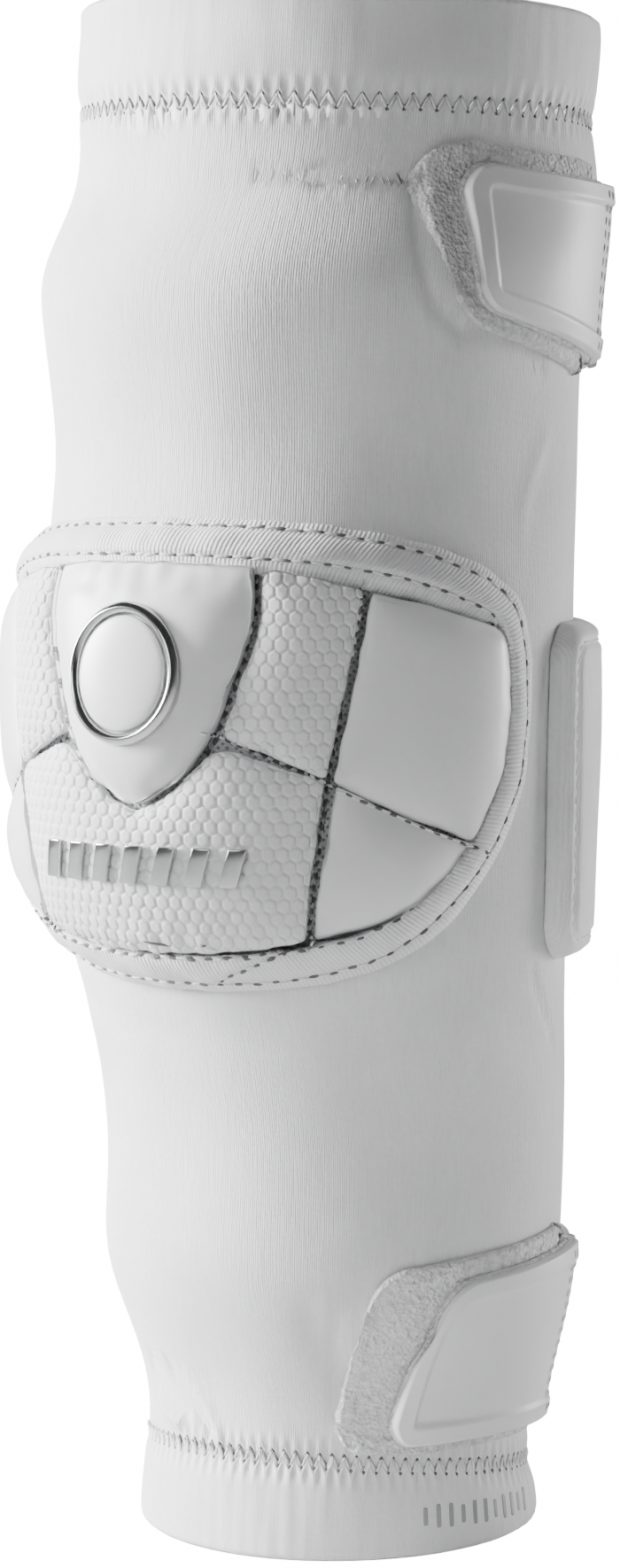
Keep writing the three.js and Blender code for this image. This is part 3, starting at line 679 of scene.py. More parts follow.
    def _mixed(
        self,
        tree: bpy.types.NodeTree,
        first: bpy.types.NodeSocket,
        second: bpy.types.NodeSocket,
        share: float,
    ) -> bpy.types.NodeSocket:
        """Mix of two values.

        Args:
            tree: The material's tree.
            first: The value taken at share 0.
            second: The value taken at share 1.
            share: The share of the second.

        Returns:
            The mix's socket.
        """
        mix = self._node(tree, "ShaderNodeMix", Factor=share)
        tree.links.new(first, mix.inputs["A"])
        tree.links.new(second, mix.inputs["B"])
        return mix.outputs["Result"]

    def _bands(
        self, tree: bpy.types.NodeTree, source: bpy.types.NodeSocket, way: str, pitch: float, **inputs: float
    ) -> bpy.types.NodeSocket:
        """Even bands across a map.

        Args:
            tree: The material's tree.
            source: The map's coordinates.
            way: X or Y, along which the bands follow each other.
            pitch: Distance from band to band, in metres.
            inputs: More of the wave's inputs.

        Returns:
            The bands' socket.
        """
        wave = self._node(tree, "ShaderNodeTexWave", Scale=self.bands_per_metre / pitch, **inputs)
        wave.bands_direction = way
        tree.links.new(source, wave.inputs["Vector"])
        return wave.outputs["Fac"]

    def _ribs(self, tree: bpy.types.NodeTree, pitch: float, crossed: bool) -> bpy.types.NodeSocket:
        """Ribs over the piece's flat map, a little uneven.

        Args:
            tree: The material's tree.
            pitch: Distance from rib to rib, in metres.
            crossed: Whether weaker ribs run across them.

        Returns:
            The ribs' socket.
        """
        flat = self._node(tree, "ShaderNodeUVMap")
        flat.uv_map = "Flat"
        across = flat.outputs["UV"]
        ribs = self._bands(tree, across, "X", pitch, Distortion=1.6, Detail=3, Detail_Scale=0.9)
        if crossed:
            weft = self._bands(tree, across, "Y", pitch * 0.55)
            return self._mixed(tree, ribs, weft, self.weft_share)
        drawn = self._node(tree, "ShaderNodeMapping", Scale=(1 / pitch, 0.06 / pitch, 1))
        streaks = self._node(tree, "ShaderNodeTexNoise", Scale=1, Detail=3, Roughness=0.65)
        tree.links.new(across, drawn.inputs["Vector"])
        tree.links.new(drawn.outputs["Vector"], streaks.inputs["Vector"])
        return self._mixed(tree, ribs, streaks.outputs["Fac"], self.knit_streaks)

    def _net(self, tree: bpy.types.NodeTree, pitch: float) -> bpy.types.NodeSocket:
        """Net of round openings in staggered rows over the piece's flat map.

        Args:
            tree: The material's tree.
            pitch: Distance from opening to opening, in metres.

        Returns:
            The net's socket, low in the openings.
        """
        flat = self._node(tree, "ShaderNodeUVMap")
        flat.uv_map = "Flat"
        turned = self._node(tree, "ShaderNodeMapping", Rotation=(0, 0, math.radians(45)))
        tree.links.new(flat.outputs["UV"], turned.inputs["Vector"])
        both = self._node(tree, "ShaderNodeMath")
        both.operation = "MAXIMUM"
        for number, way in enumerate("XY"):
            bands = self._bands(tree, turned.outputs["Vector"], way, pitch)
            tree.links.new(bands, both.inputs[number])
        return both.outputs[0]


KNIT = Finish("ribbed_knit", Pattern.KNIT, (0.88, 0.88, 0.885), (0.62, 0.62, 0.63), 0.8,
              0.62 * MM, 0.3 * MM, sheen=0.15, strength=1.0)
HEM = Finish("hem_knit", Pattern.KNIT, (0.87, 0.87, 0.875), (0.68, 0.68, 0.69), 0.74,
             0.6 * MM, 0.18 * MM, sheen=0.15, strength=0.8)
SATIN = Finish("satin_panel", Pattern.SATIN, (0.87, 0.872, 0.878), (0.8, 0.802, 0.81), 0.4,
               0.9 * MM, 0.05 * MM, coat=0.15, strength=0.3)
HONEYCOMB = Finish("honeycomb_cloth", Pattern.HONEYCOMB, (0.8, 0.803, 0.81), (0.68, 0.685, 0.695),
                   0.6, 0.5 * MM, 0.06 * MM)
BACKING = Finish("backing_net", Pattern.MESH, (0.5, 0.505, 0.515), (0.2, 0.205, 0.215), 0.8,
                 1.3 * MM, 0.4 * MM)
TAPE = Finish("binding_tape", Pattern.TAPE, (0.86, 0.863, 0.87), (0.66, 0.663, 0.67), 0.68,
              1.0 * MM, 0.25 * MM, sheen=0.2, strength=0.9)
THREAD = Finish("white_thread", Pattern.THREAD, (0.88, 0.88, 0.88), (0.7, 0.7, 0.7), 0.5,
                0.25 * MM, 0.05 * MM, sheen=0.2)
GREY_THREAD = Finish("grey_thread", Pattern.THREAD, (0.62, 0.62, 0.63), (0.45, 0.45, 0.46), 0.6,
                     0.25 * MM, 0.05 * MM)
DARK_THREAD = Finish("dark_thread", Pattern.THREAD, (0.2, 0.2, 0.205), (0.1, 0.1, 0.105), 0.6,
                     0.25 * MM, 0.05 * MM)
# Painted shade: a near-black finish for the blobs that stand in for the shade inside needle punctures.
HOLE_SHADE = Finish("needle_hole", Pattern.PLAIN, (0.16, 0.16, 0.165), (0.07, 0.07, 0.075), 0.9,
              0.3 * MM, 0.05 * MM)
SILVER = Finish("silver_trim", Pattern.METAL, (0.62, 0.625, 0.63), (0.48, 0.485, 0.49), 0.18,
                0.6 * MM, 0.02 * MM, metallic=1.0, strength=0.2)
BADGE_FIELD = Finish("badge_field", Pattern.SATIN, (0.84, 0.845, 0.85), (0.76, 0.765, 0.77), 0.32,
                     0.6 * MM, 0.03 * MM, coat=0.3, strength=0.3)
WEBBING = Finish("strap_webbing", Pattern.TAPE, (0.84, 0.843, 0.85), (0.7, 0.703, 0.71), 0.7,
                 1.1 * MM, 0.15 * MM, sheen=0.2)
PILE = Finish("loop_pile", Pattern.PILE, (0.86, 0.86, 0.865), (0.4, 0.4, 0.41), 0.9,
              0.9 * MM, 1.1 * MM, sheen=0.3, strength=1.0)
RUBBER = Finish("moulded_tab", Pattern.RUBBER, (0.84, 0.842, 0.845), (0.77, 0.772, 0.775), 0.42,
                0.5 * MM, 0.03 * MM, strength=0.35)
GREY_PRINT = Finish("grey_print", Pattern.PLAIN, (0.36, 0.365, 0.37), (0.22, 0.225, 0.23), 0.5,
                    0.4 * MM, 0.04 * MM)
FLOOR = Finish("pale_floor", Pattern.PLAIN, (0.75, 0.75, 0.75), (0.7, 0.7, 0.7), 0.9,
               60 * MM, 0.1 * MM, strength=0.1)


@dataclass
class Workshop:
    """What every sub-assembly needs: the arm, the paint and a place to hand pieces in."""

    arm: Arm
    paint: Paint
    pieces: dict[str, bpy.types.Object] = field(default_factory=dict)

    def hand_in(
        self,
        piece: bpy.types.Object,
        finish: Finish,
        slot: str,
        nodes: Sequence[str] = (),
        fill: float | None = None,
    ) -> None:
        """Dresses a piece and ties it to the frame.

        Args:
            piece: The piece, in place.
            finish: Its finish.
            slot: Not used.
            nodes: The solids it stands for.
            fill: Not used.
        """
        lay_map(piece, self.arm)
        piece.data.materials.clear()
        piece.data.materials.append(self.paint.of(finish))
        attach(piece, "root")
        if nodes:
            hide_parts(*nodes)
        self.pieces[piece.name] = piece
        LOG.info("%s: %d faces", piece.name, len(piece.data.polygons))


# The outlines on the cap


@dataclass
class CapMap:
    """Outlines on the elbow cap, as angles and heights."""

    half_angle: float = 84.0
    half_height: float = 51.5 * MM
    middle: float = 2.75 * MM
    end_tape: float = 10.0 * MM
    side_tape: float = 12.5 * MM
    shield_half_angle: float = 21.2
    shield_tip_below: float = 9.5 * MM
    mid_edge_top: float = 41.8
    mid_edge_foot: float = 35.0
    seam_inner_rise: float = 6.0 * MM
    seam_outer_drop: float = 4.0 * MM
    lower_edge_foot: float = 30.5
    side_sag: float = 1.25 * MM
    edge: tuple[Place, ...] = (
        (0, 1), (0.2, 0.995), (0.4, 0.975), (0.6, 0.92), (0.78, 0.83), (0.93, 0.7),
        (0.995, 0.44), (0.99, 0.0), (0.93, -0.29), (0.8, -0.59), (0.62, -0.83),
        (0.4, -0.945), (0.2, -0.99), (0, -1),
    )
    shield: tuple[Place, ...] = (
        (0.0, 0.04), (0.045, 0.24), (0.1, 0.39), (0.18, 0.52), (0.28, 0.64), (0.4, 0.74),
        (0.55, 0.84), (0.7, 0.94), (0.83, 1.0), (1.0, 0.97),
    )
    stations: int = 240

    def rim(self, inwards: float) -> list[Place]:
        """The cap's outline, moved inwards, from the top round the right side.

        Args:
            inwards: Share of the tape's width.

        Returns:
            The outline's places.
        """
        knots = np.array([(x * self.half_angle, self.middle + y * self.half_height)
                          for x, y in self.edge])
        mirror = knots[-2:0:-1] * (-1, 1)
        ring = np.vstack([knots, mirror])
        closed = np.vstack([ring[-1:], ring, ring[:2]])
        found = []
        count = len(ring)
        for station in np.linspace(0, count, self.stations, endpoint=False):
            i, t = int(station), station % 1
            a, b, c, d = closed[i:i + 4]
            spot = 0.5 * (2 * b + (c - a) * t + (2 * a - 5 * b + 4 * c - d) * t * t
                          + (3 * b - a - 3 * c + d) * t ** 3)
            way = 0.5 * ((c - a) + (4 * a - 10 * b + 8 * c - 2 * d) * t
                         + (9 * b - 3 * a - 9 * c + 3 * d) * t * t)
            flat = np.array([way[0] * METRES_PER_DEGREE, way[1]])
            flat /= np.linalg.norm(flat)
            side = math.sin(math.pi * 2 * station / count / 2) ** 2
            width = self.end_tape + (self.side_tape - self.end_tape) * side
            move = inwards * width
            found.append((spot[0] + flat[1] * move / METRES_PER_DEGREE,
                          spot[1] - flat[0] * move))
        return found

    def shield_half(self, height: float) -> float:
        """Half angle of the centre panel at a height.

        Args:
            height: The height, in metres.

        Returns:
            The half angle, in degrees.
        """
        share = (height - self.shield_tip) / (self.shield_top - self.shield_tip)
        ups, halves = zip(*self.shield)
        return self.shield_half_angle * float(np.interp(share, ups, halves))

    @property
    def shield_tip(self) -> float:
        """Height of the centre panel's tip."""
        return self.middle - self.shield_tip_below

    @property
    def shield_top(self) -> float:
        """Height of the centre panel's top edge."""
        return self.middle + self.half_height - self.end_tape

    def mirrored(self, path: Sequence[Place], side: int) -> list[Place]:
        """A path on the right side, or its mirror image on the left one."""
        return [(side * angle, height) for angle, height in path]


@dataclass(frozen=True)
class Fold:
    """A crease or ridge in the cloth along a line of places in degrees and millimetres.

    A positive rise stands proud and a negative one sinks in. A step lifts the cloth on the far
    side of the line, left of its direction.
    """

    path: tuple[Place, ...]
    width: float
    rise: float
    step: float = 0.0

    def lift(self, arm: Arm, angles: np.ndarray, heights: np.ndarray) -> np.ndarray:
        """How far the fold moves the cloth out.

        Args:
            arm: The arm the cloth lies on.
            angles: Angles of the points.
            heights: Heights of the points.

        Returns:
            The lift at each point, in metres.
        """
        x = np.radians(angles) * arm.radius
        best = np.full(len(x), 9.0)
        side = np.zeros(len(x))
        for (a0, h0), (a1, h1) in zip(self.path, self.path[1:]):
            start = np.array([math.radians(a0) * arm.radius, h0 * MM])
            way = np.array([math.radians(a1) * arm.radius, h1 * MM]) - start
            dx, dy = x - start[0], heights - start[1]
            share = np.clip((dx * way[0] + dy * way[1]) / (way @ way), 0, 1)
            far = np.hypot(dx - share * way[0], dy - share * way[1])
            cross = np.sign(way[0] * dy - way[1] * dx)
            nearer = far < best
            side = np.where(nearer, cross, side)
            best = np.where(nearer, far, best)
        ridge = self.rise * np.exp(-((best / self.width) ** 2))
        edge = self.step * np.exp(-best / (self.width * 3)) * np.where(side > 0, 1, 0)
        return ridge + edge * step(best, 0, self.width * 0.6)


@dataclass(frozen=True)
class ZigzagLine:
    """The line in which the tube and a hem meet, drawn up and down by a zigzag thread."""

    height: float
    tilt: float
    teeth: int = 92
    tooth: float = 3.2 * MM
    puff: float = 0.26 * MM
    groove: float = 0.55 * MM
    overlap: float = 0.35 * MM

    def level(self, angles: np.ndarray) -> np.ndarray:
        """Height of the line's middle at each angle."""
        return self.height + self.tilt * np.cos(np.radians(angles))

    def at(self, angles: np.ndarray) -> np.ndarray:
        """Height of the zigzag at each angle, in degrees."""
        phase = (angles / 360 * self.teeth) % 1
        return self.level(angles) + self.tooth / 2 * (4 * np.abs(phase - 0.5) - 1)

    def tongues(self, angles: np.ndarray, heights: np.ndarray) -> np.ndarray:
        """Lift of the little tongues of cloth on both sides of the zigzag.

        Args:
            angles: Angles of the points.
            heights: Heights of the points.

        Returns:
            The lift in metres.
        """
        over = heights - self.level(angles)
        away = np.abs(heights - self.at(angles))
        phase = np.cos(np.radians(angles) * self.teeth) * np.sign(over)
        fade = 1 - step(np.abs(over), self.tooth * 0.55, self.tooth * 2.1)
        puff = self.puff * phase * fade * step(np.abs(over), 0, self.tooth * 0.5)
        return puff - self.groove * np.exp(-((away / (0.9 * MM)) ** 2))


UPPER_SEAM = ZigzagLine(141.0 * MM, 2.0 * MM)
LOWER_SEAM = ZigzagLine(-156.4 * MM, 3.0 * MM)


@dataclass
class ClothTube:
    """Cloth round the arm: a fine skin over a solid's outside, a plain lining, and both bridged."""

    shop: Workshop
    node: str
    name: str
    columns: int
    shares: np.ndarray
    low: Callable[[np.ndarray], np.ndarray]
    high: Callable[[np.ndarray], np.ndarray]
    lining_columns: int = 64
    lining_rows: int = 12
    outer_room: float = 0.3 * MM
    inner_room: float = 2.4 * MM
    merge: float = 0.02 * MM

    def build(self) -> bpy.types.Object:
        """Models the tube.

        Returns:
            The piece, not yet dressed.
        """
        guide = copy_of(self.node, f"{self.name}_guide")
        smooth_over(guide, 2)
        skin = Skin(self.shop.arm, [guide])
        tube = self.grid(self.columns, len(self.shares) - 1, skin, True)
        lining = self.grid(self.lining_columns, self.lining_rows, skin, False)
        edit_whole(lining, bpy.ops.mesh.flip_normals)
        pick(tube, lining)
        bpy.ops.object.join()
        for above in (False, True):
            self.bridge_end(tube, above)
        bpy.data.objects.remove(guide)
        pick(tube)
        bpy.ops.object.shade_smooth()
        return tube

    def grid(self, columns: int, rows: int, skin: Skin, outer: bool) -> bpy.types.Object:
        """A grid wrapped round the solid's outside or its inside.

        Args:
            columns: Faces round the arm.
            rows: Faces up it.
            skin: The solid's faces.
            outer: Whether it goes on the outside.

        Returns:
            The wrapped grid, closed down the back.
        """
        arm = self.shop.arm
        piece = flat_grid(self.name if outer else f"{self.name}_lining", columns, rows)
        flat = points_of(piece)
        angles = flat[:, 0] * 360
        line = np.round((flat[:, 1] + 0.5) * rows).astype(int)
        share = self.shares[line] if outer else line / rows
        low, high = self.low(angles), self.high(angles)
        room = self.outer_room if outer else self.inner_room
        heights = low + (high - low) * share
        held = np.clip(heights, low.max() + room, high.min() - room)
        places = np.empty((len(flat), 3))
        for i, (angle, height, level) in enumerate(zip(angles, heights, held)):
            way = arm.outward(angle)
            core = Vector((0, float(arm.middle(height)), level))
            start, aim = (core + way * 0.2, -way) if outer else (core, way)
            spot, _, _, _ = skin.tree.ray_cast(start, aim, 0.2)
            spot = spot or core + way * arm.radius * arm.depth_share
            places[i] = (spot.x, spot.y, height if outer else level)
        move_points(piece, places)
        edit_whole(piece, partial(bpy.ops.mesh.remove_doubles, threshold=self.merge),
                   partial(bpy.ops.mesh.normals_make_consistent, inside=False))
        return piece

    @staticmethod
    def bridge_end(tube: bpy.types.Object, above: bool) -> None:
        """Bridges the open edges of the skin and the lining at one end.

        Args:
            tube: The skin and lining.
            above: Whether it is the upper end.
        """
        pick(tube)
        bpy.ops.object.mode_set(mode="EDIT")
        bpy.context.tool_settings.mesh_select_mode = (False, True, False)
        bpy.ops.mesh.select_all(action="DESELECT")
        bpy.ops.mesh.select_non_manifold(extend=False)
        bpy.ops.object.mode_set(mode="OBJECT")
        mesh = tube.data
        heights = points_of(tube)[:, 2]
        middle = (heights.min() + heights.max()) / 2
        for edge in mesh.edges:
            if edge.select:
                edge.select = (heights[edge.vertices[0]] > middle) == above
        for part in (mesh.vertices, mesh.polygons):
            part.foreach_set("select", [False] * len(part))
        bpy.ops.object.mode_set(mode="EDIT")
        bpy.ops.mesh.bridge_edge_loops()
        bpy.ops.object.mode_set(mode="OBJECT")

    def on_outside(self, tube: bpy.types.Object) -> tuple[np.ndarray, ...]:
        """Angles, heights, level outward ways and outward shares of a tube's vertices.

        Args:
            tube: The tube.

        Returns:
            The four arrays, in that order.
        """
        spots, normals = points_of(tube), normals_of(tube)
        angles, heights = self.shop.arm.unrolled(spots)
        level = np.stack([spots[:, 0], spots[:, 1] - self.shop.arm.middle(heights)], axis=1)
        way = level / np.linalg.norm(level, axis=1)[:, None]
        return angles, heights, way, step(np.sum(way * normals[:, :2], axis=1), 0.0, 0.3)


@dataclass
class SleeveTube:
    """The padded knit tube, with its soft folds and the puckers at its ends."""

    shop: Workshop
    columns: int = 460
    end_rows: int = 14
    end_share: float = 0.03
    middle_rows: int = 118
    wave: float = 0.14 * MM
    under_cap: tuple[float, float] = (50 * MM, 56 * MM)
    beside_cap: tuple[float, float] = (84.0, 90.0)
    folds: tuple[Fold, ...] = (
        Fold(((30, 126.2), (34.5, 125.9), (43.8, 125.5), (53.6, 124.7)), 0.9 * MM, -0.9 * MM,
             -0.25 * MM),
        Fold(((16, 126.8), (24, 126.5), (34.5, 125.9)), 1.6 * MM, -0.45 * MM),
        Fold(((54, 126), (55, 118), (57, 108), (60.5, 99), (66, 94.5)), 1.8 * MM, -1.1 * MM),
        Fold(((66, 94.5), (78, 91.5), (92, 86)), 1.6 * MM, -0.6 * MM),
        Fold(((41, -112), (34.5, -118), (32.5, -128), (33, -140), (37, -150)), 1.8 * MM, -0.8 * MM),
        Fold(((94.8, 71), (90.4, 64), (86.6, 55.1), (85, 46.1)), 2.4 * MM, 0.5 * MM),
        Fold(((94.2, -45.4), (97, -50.5), (102, -57.1), (106.8, -62.6)), 1.3 * MM, -0.7 * MM),
        Fold(((27, -123), (34, -131), (37, -138)), 4.5 * MM, -0.9 * MM),
        Fold(((-44, -137), (-34, -142), (-24, -145)), 2.2 * MM, -1.5 * MM),
        Fold(((-40, -146), (-32, -148), (-26, -149)), 1.7 * MM, 1.3 * MM),
        Fold(((-30, -136), (-21, -142), (-13, -149)), 2.0 * MM, -1.0 * MM),
        Fold(((-20, -138), (-12, -145), (-8, -151)), 1.8 * MM, 0.5 * MM),
        Fold(((-58, -52), (-30, -58), (10, -60), (50, -56), (75, -44)), 4.5 * MM, -0.5 * MM),
        Fold(((-70, 150), (-20, 151), (40, 150), (100, 147)), 3.0 * MM, -0.2 * MM),
    )

    def build(self) -> None:
        """Models and dresses the tube."""
        edge = np.linspace(0, self.end_share, self.end_rows)
        middle = np.linspace(self.end_share, 1 - self.end_share, self.middle_rows)
        shares = np.concatenate([edge, middle[1:-1], 1 - edge[::-1]])
        cloth = ClothTube(self.shop, "sleeve_body", "knit_sleeve", self.columns, shares,
                          lambda angles: LOWER_SEAM.at(angles) - LOWER_SEAM.overlap,
                          lambda angles: UPPER_SEAM.at(angles) + UPPER_SEAM.overlap,
                          lining_rows=24)
        tube = cloth.build()
        angles, heights, way, outness = cloth.on_outside(tube)
        lift = np.zeros(len(angles))
        for fold in self.folds:
            lift += fold.lift(self.shop.arm, angles, heights)
        x = np.radians(angles) * self.shop.arm.radius
        lift += self.wave * smooth_noise(x / (26 * MM), heights / (34 * MM), 4)
        clear = step(np.abs(heights - CapMap().middle), *self.under_cap)
        beside = step(np.abs(angles), *self.beside_cap)
        lift *= np.maximum(clear, beside)
        for seam in (UPPER_SEAM, LOWER_SEAM):
            lift += seam.tongues(angles, heights)
        spots = points_of(tube)
        spots[:, :2] += way * (lift * outness)[:, None]
        move_points(tube, spots)
        self.shop.hand_in(tube, KNIT, "knit", ["sleeve_body"], fill=0.4)


@dataclass
class Cuffs:
    """The two turned hems, each joined to the tube by a zigzag seam."""

    shop: Workshop
    stitch: Stamp
    hole_shade: Stamp
    columns: int = 552
    rows: int = 44
    thread: float = 0.62 * MM
    sunk: float = 0.35 * MM
    flush_height: float = 7.0 * MM
    flush_depth: float = 1.0 * MM
    free_roll: float = 1.5 * MM
    upper_lean: float = 3.4 * MM
    lower_lean: float = 3.0 * MM
    slow_wave: float = 0.1 * MM
    fine_wave: float = 0.05 * MM
    print_bars: int = 11
    print_start: float = 60.0
    print_step: float = 4.4
    print_height: float = -165.7 * MM
    print_lengths: tuple[float, float, float] = (4.0 * MM, 5.2 * MM, 5.2 * MM)
    print_width: float = 1.1 * MM
    print_thickness: float = 0.16 * MM

    def build(self) -> None:
        """Models both hems, their seams and the small print."""
        self.hem("upper", UPPER_SEAM, 1)
        self.hem("lower", LOWER_SEAM, -1)
        self.small_print()

    def hem(self, name: str, seam: ZigzagLine, sign: int) -> None:
        """Models one hem and sews it on.

        Args:
            name: Which hem.
            seam: Where it meets the tube.
            sign: 1 where it runs up from the seam, -1 where it runs down.
        """
        low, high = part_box(f"{name}_cuff")
        lean = self.upper_lean if sign > 0 else -self.lower_lean
        free = (high.z if sign > 0 else low.z) - lean

        def edge(angles: np.ndarray) -> np.ndarray:
            """Height of the hem's free edge."""
            return free + lean * np.cos(np.radians(angles))

        near = np.linspace(0, 1, self.rows) ** 1.5
        shares = near if sign > 0 else 1 - near[::-1]
        ends = (seam.at, edge) if sign > 0 else (edge, seam.at)
        cloth = ClothTube(self.shop, f"{name}_cuff", f"{name}_hem", self.columns, shares, *ends,
                          lining_rows=4)
        hem = cloth.build()
        angles, heights, way, outness = cloth.on_outside(hem)
        over = (heights - seam.level(angles)) * sign
        left = np.clip((edge(angles) - heights) * sign / self.free_roll, 0, 1)
        lift = seam.tongues(angles, heights)
        lift -= self.flush_depth * (1 - step(over, 0, self.flush_height))
        lift -= self.free_roll * (1 - np.sqrt(1 - (1 - left) ** 2)) * 0.8
        lift += self.slow_wave * smooth_noise(np.radians(angles) * 3.2, heights / (14 * MM), 11)
        lift += self.fine_wave * smooth_noise(np.radians(angles) * 14, heights / (20 * MM), 12)
        spots = points_of(hem)
        spots[:, :2] += way * (lift * outness)[:, None]
        move_points(hem, spots)
        self.shop.hand_in(hem, HEM, "knit", [f"{name}_cuff"])
        self.zigzag(name, hem, seam)

    def zigzag(self, name: str, hem: bpy.types.Object, seam: ZigzagLine) -> None:
        """Lays the zigzag thread over a seam, with blobs of painted shade at the needle punctures.

        Args:
            name: Which hem.
            hem: The hem.
            seam: The seam.
        """
        skin = Skin(self.shop.arm, [hem, self.shop.pieces["knit_sleeve"]])
        rng = np.random.default_rng(7 if name == "upper" else 8)
        count = seam.teeth * 2
        angles = np.arange(count + 1) * 360 / count - 180
        heights = seam.at(angles) + rng.normal(0, 0.1, count + 1) * MM
        found = [self.over_seam(skin, seam, a, h) for a, h in zip(angles, heights)]
        threads, hole_shades = [], []
        for (a, na), (b, nb) in zip(found, found[1:]):
            way = np.array(b - a)
            spot = Spot(np.array((a + b) / 2), way, np.array(na + nb))
            axes = spot.axes()
            threads.append((spot.place + axes[2] * 0.3 * MM,
                            sized(axes, np.linalg.norm(way) * 0.95, self.thread, self.thread)))
            # Dark blobs of painted shade at the needle punctures, where the thread sinks into the cloth.
            hole_shade = Spot(np.array(a), way, np.array(na)).axes()
            wide = (1.15 + rng.normal(0, 0.14)) * MM
            hole_shades.append((np.array(a) + hole_shade[2] * 0.1 * MM, sized(hole_shade, wide, wide * 0.85, 0.5 * MM)))
        self.shop.hand_in(self.stitch.set_down(f"{name}_zigzag_thread", threads), THREAD, "knit")
        self.shop.hand_in(self.hole_shade.set_down(f"{name}_zigzag_holes", hole_shades), HOLE_SHADE, "knit")

    def over_seam(
        self, skin: Skin, seam: ZigzagLine, angle: float, height: float
    ) -> tuple[Vector, Vector]:
        """Point and normal on a seam, taken between the cloth above and below it.

        Args:
            skin: The hem's and the tube's outside.
            seam: The seam.
            angle: Where round the arm.
            height: How high.

        Returns:
            The point and the normal.
        """
        level = float(seam.level(np.array(angle)))
        reach = seam.tooth * 0.75
        above, _ = skin.at(angle, level + reach)
        below, _ = skin.at(angle, level - reach)
        share = (height - level + reach) / (2 * reach)
        spot = below.lerp(above, share)
        out = skin.arm.outward(angle)
        return spot - out * self.sunk, out

    def small_print(self) -> None:
        """Prints a row of plain grey bars on the lower hem."""
        skin = Skin(self.shop.arm, [self.shop.pieces["lower_hem"]])
        bars = []
        for i in range(self.print_bars):
            spot = Spot.upright(*skin.at(self.print_start + i * self.print_step, self.print_height))
            bars.append((spot.place, sized(spot.axes(), self.print_lengths[i % 3], self.print_width,
                                           self.print_thickness)))
        self.shop.hand_in(print_bar_unit().set_down("small_print_bars", bars), GREY_PRINT, "knit")


@dataclass(frozen=True)
class LooseEnd:
    """An end of thread left standing out, on the cap or on the sleeve."""

    on_cap: bool
    angle: float
    height: float
    turn: float
    length: float


@dataclass
class Overlock:
    """The short thick seam above the bulge, and loose ends of thread there and on the cap."""

    shop: Workshop
    stitch: Stamp
    path: tuple[Place, ...] = ((34.5, 125.9 * MM), (43.8, 125.5 * MM), (53.6, 124.7 * MM))
    pitch: float = 0.75 * MM
    length: float = 2.2 * MM
    width: float = 0.45 * MM
    slants: tuple[float, float] = (118.0, 62.0)
    loose_width: float = 0.6 * MM
    loose: tuple[LooseEnd, ...] = (
        LooseEnd(False, 34.2, 126.6 * MM, 65, 4.6 * MM),
        LooseEnd(False, 33.6, 125.4 * MM, 160, 3.4 * MM),
        LooseEnd(False, 42.0, 126.6 * MM, 40, 3.6 * MM),
        LooseEnd(False, 50.0, 125.9 * MM, 25, 3.0 * MM),
        LooseEnd(True, 2.0, -36.9 * MM, 79, 7.4 * MM),
        LooseEnd(True, 11.5, -36.8 * MM, 85, 1.6 * MM),
    )

    def build(self) -> None:
        """Lays slanted loops of thread along the seam, and the loose ends."""
        pieces = self.shop.pieces
        skin = Skin(self.shop.arm, [pieces["knit_sleeve"]])
        on_cap = Skin(self.shop.arm, [pieces["cap_tape"], pieces["lower_panel"]])
        rng = np.random.default_rng(61)
        loops = []
        for i, spot in enumerate(skin.trace(fine(self.path), self.pitch, False)):
            axes = spot.axes(self.slants[i % 2] + rng.normal(0, 7))
            length = self.length * rng.uniform(0.8, 1.1)
            loops.append((spot.place + axes[2] * 0.25 * MM, sized(axes, length, self.width, self.width)))
        ends = []
        for end in self.loose:
            spot = Spot.upright(*(on_cap if end.on_cap else skin).at(end.angle, end.height))
            axes = spot.axes(end.turn)
            ends.append((spot.place + axes[2] * 0.5 * MM,
                         sized(axes, end.length, self.loose_width, self.loose_width)))
        self.shop.hand_in(self.stitch.set_down("overlock_thread", loops), GREY_THREAD, "knit")
        self.shop.hand_in(self.stitch.set_down("loose_thread_ends", ends), DARK_THREAD, "knit")


def print_bar_unit() -> Stamp:
    """Models one printed bar with rounded ends, one unit long, wide and thick.

    Returns:
        The bar's stamp.
    """
    deselect_all()
    bpy.ops.mesh.primitive_cube_add(size=1)
    unit = bpy.context.object
    finish_with(unit, "BEVEL", width=0.18, segments=2, limit_method="ANGLE")
    return Stamp(unit)


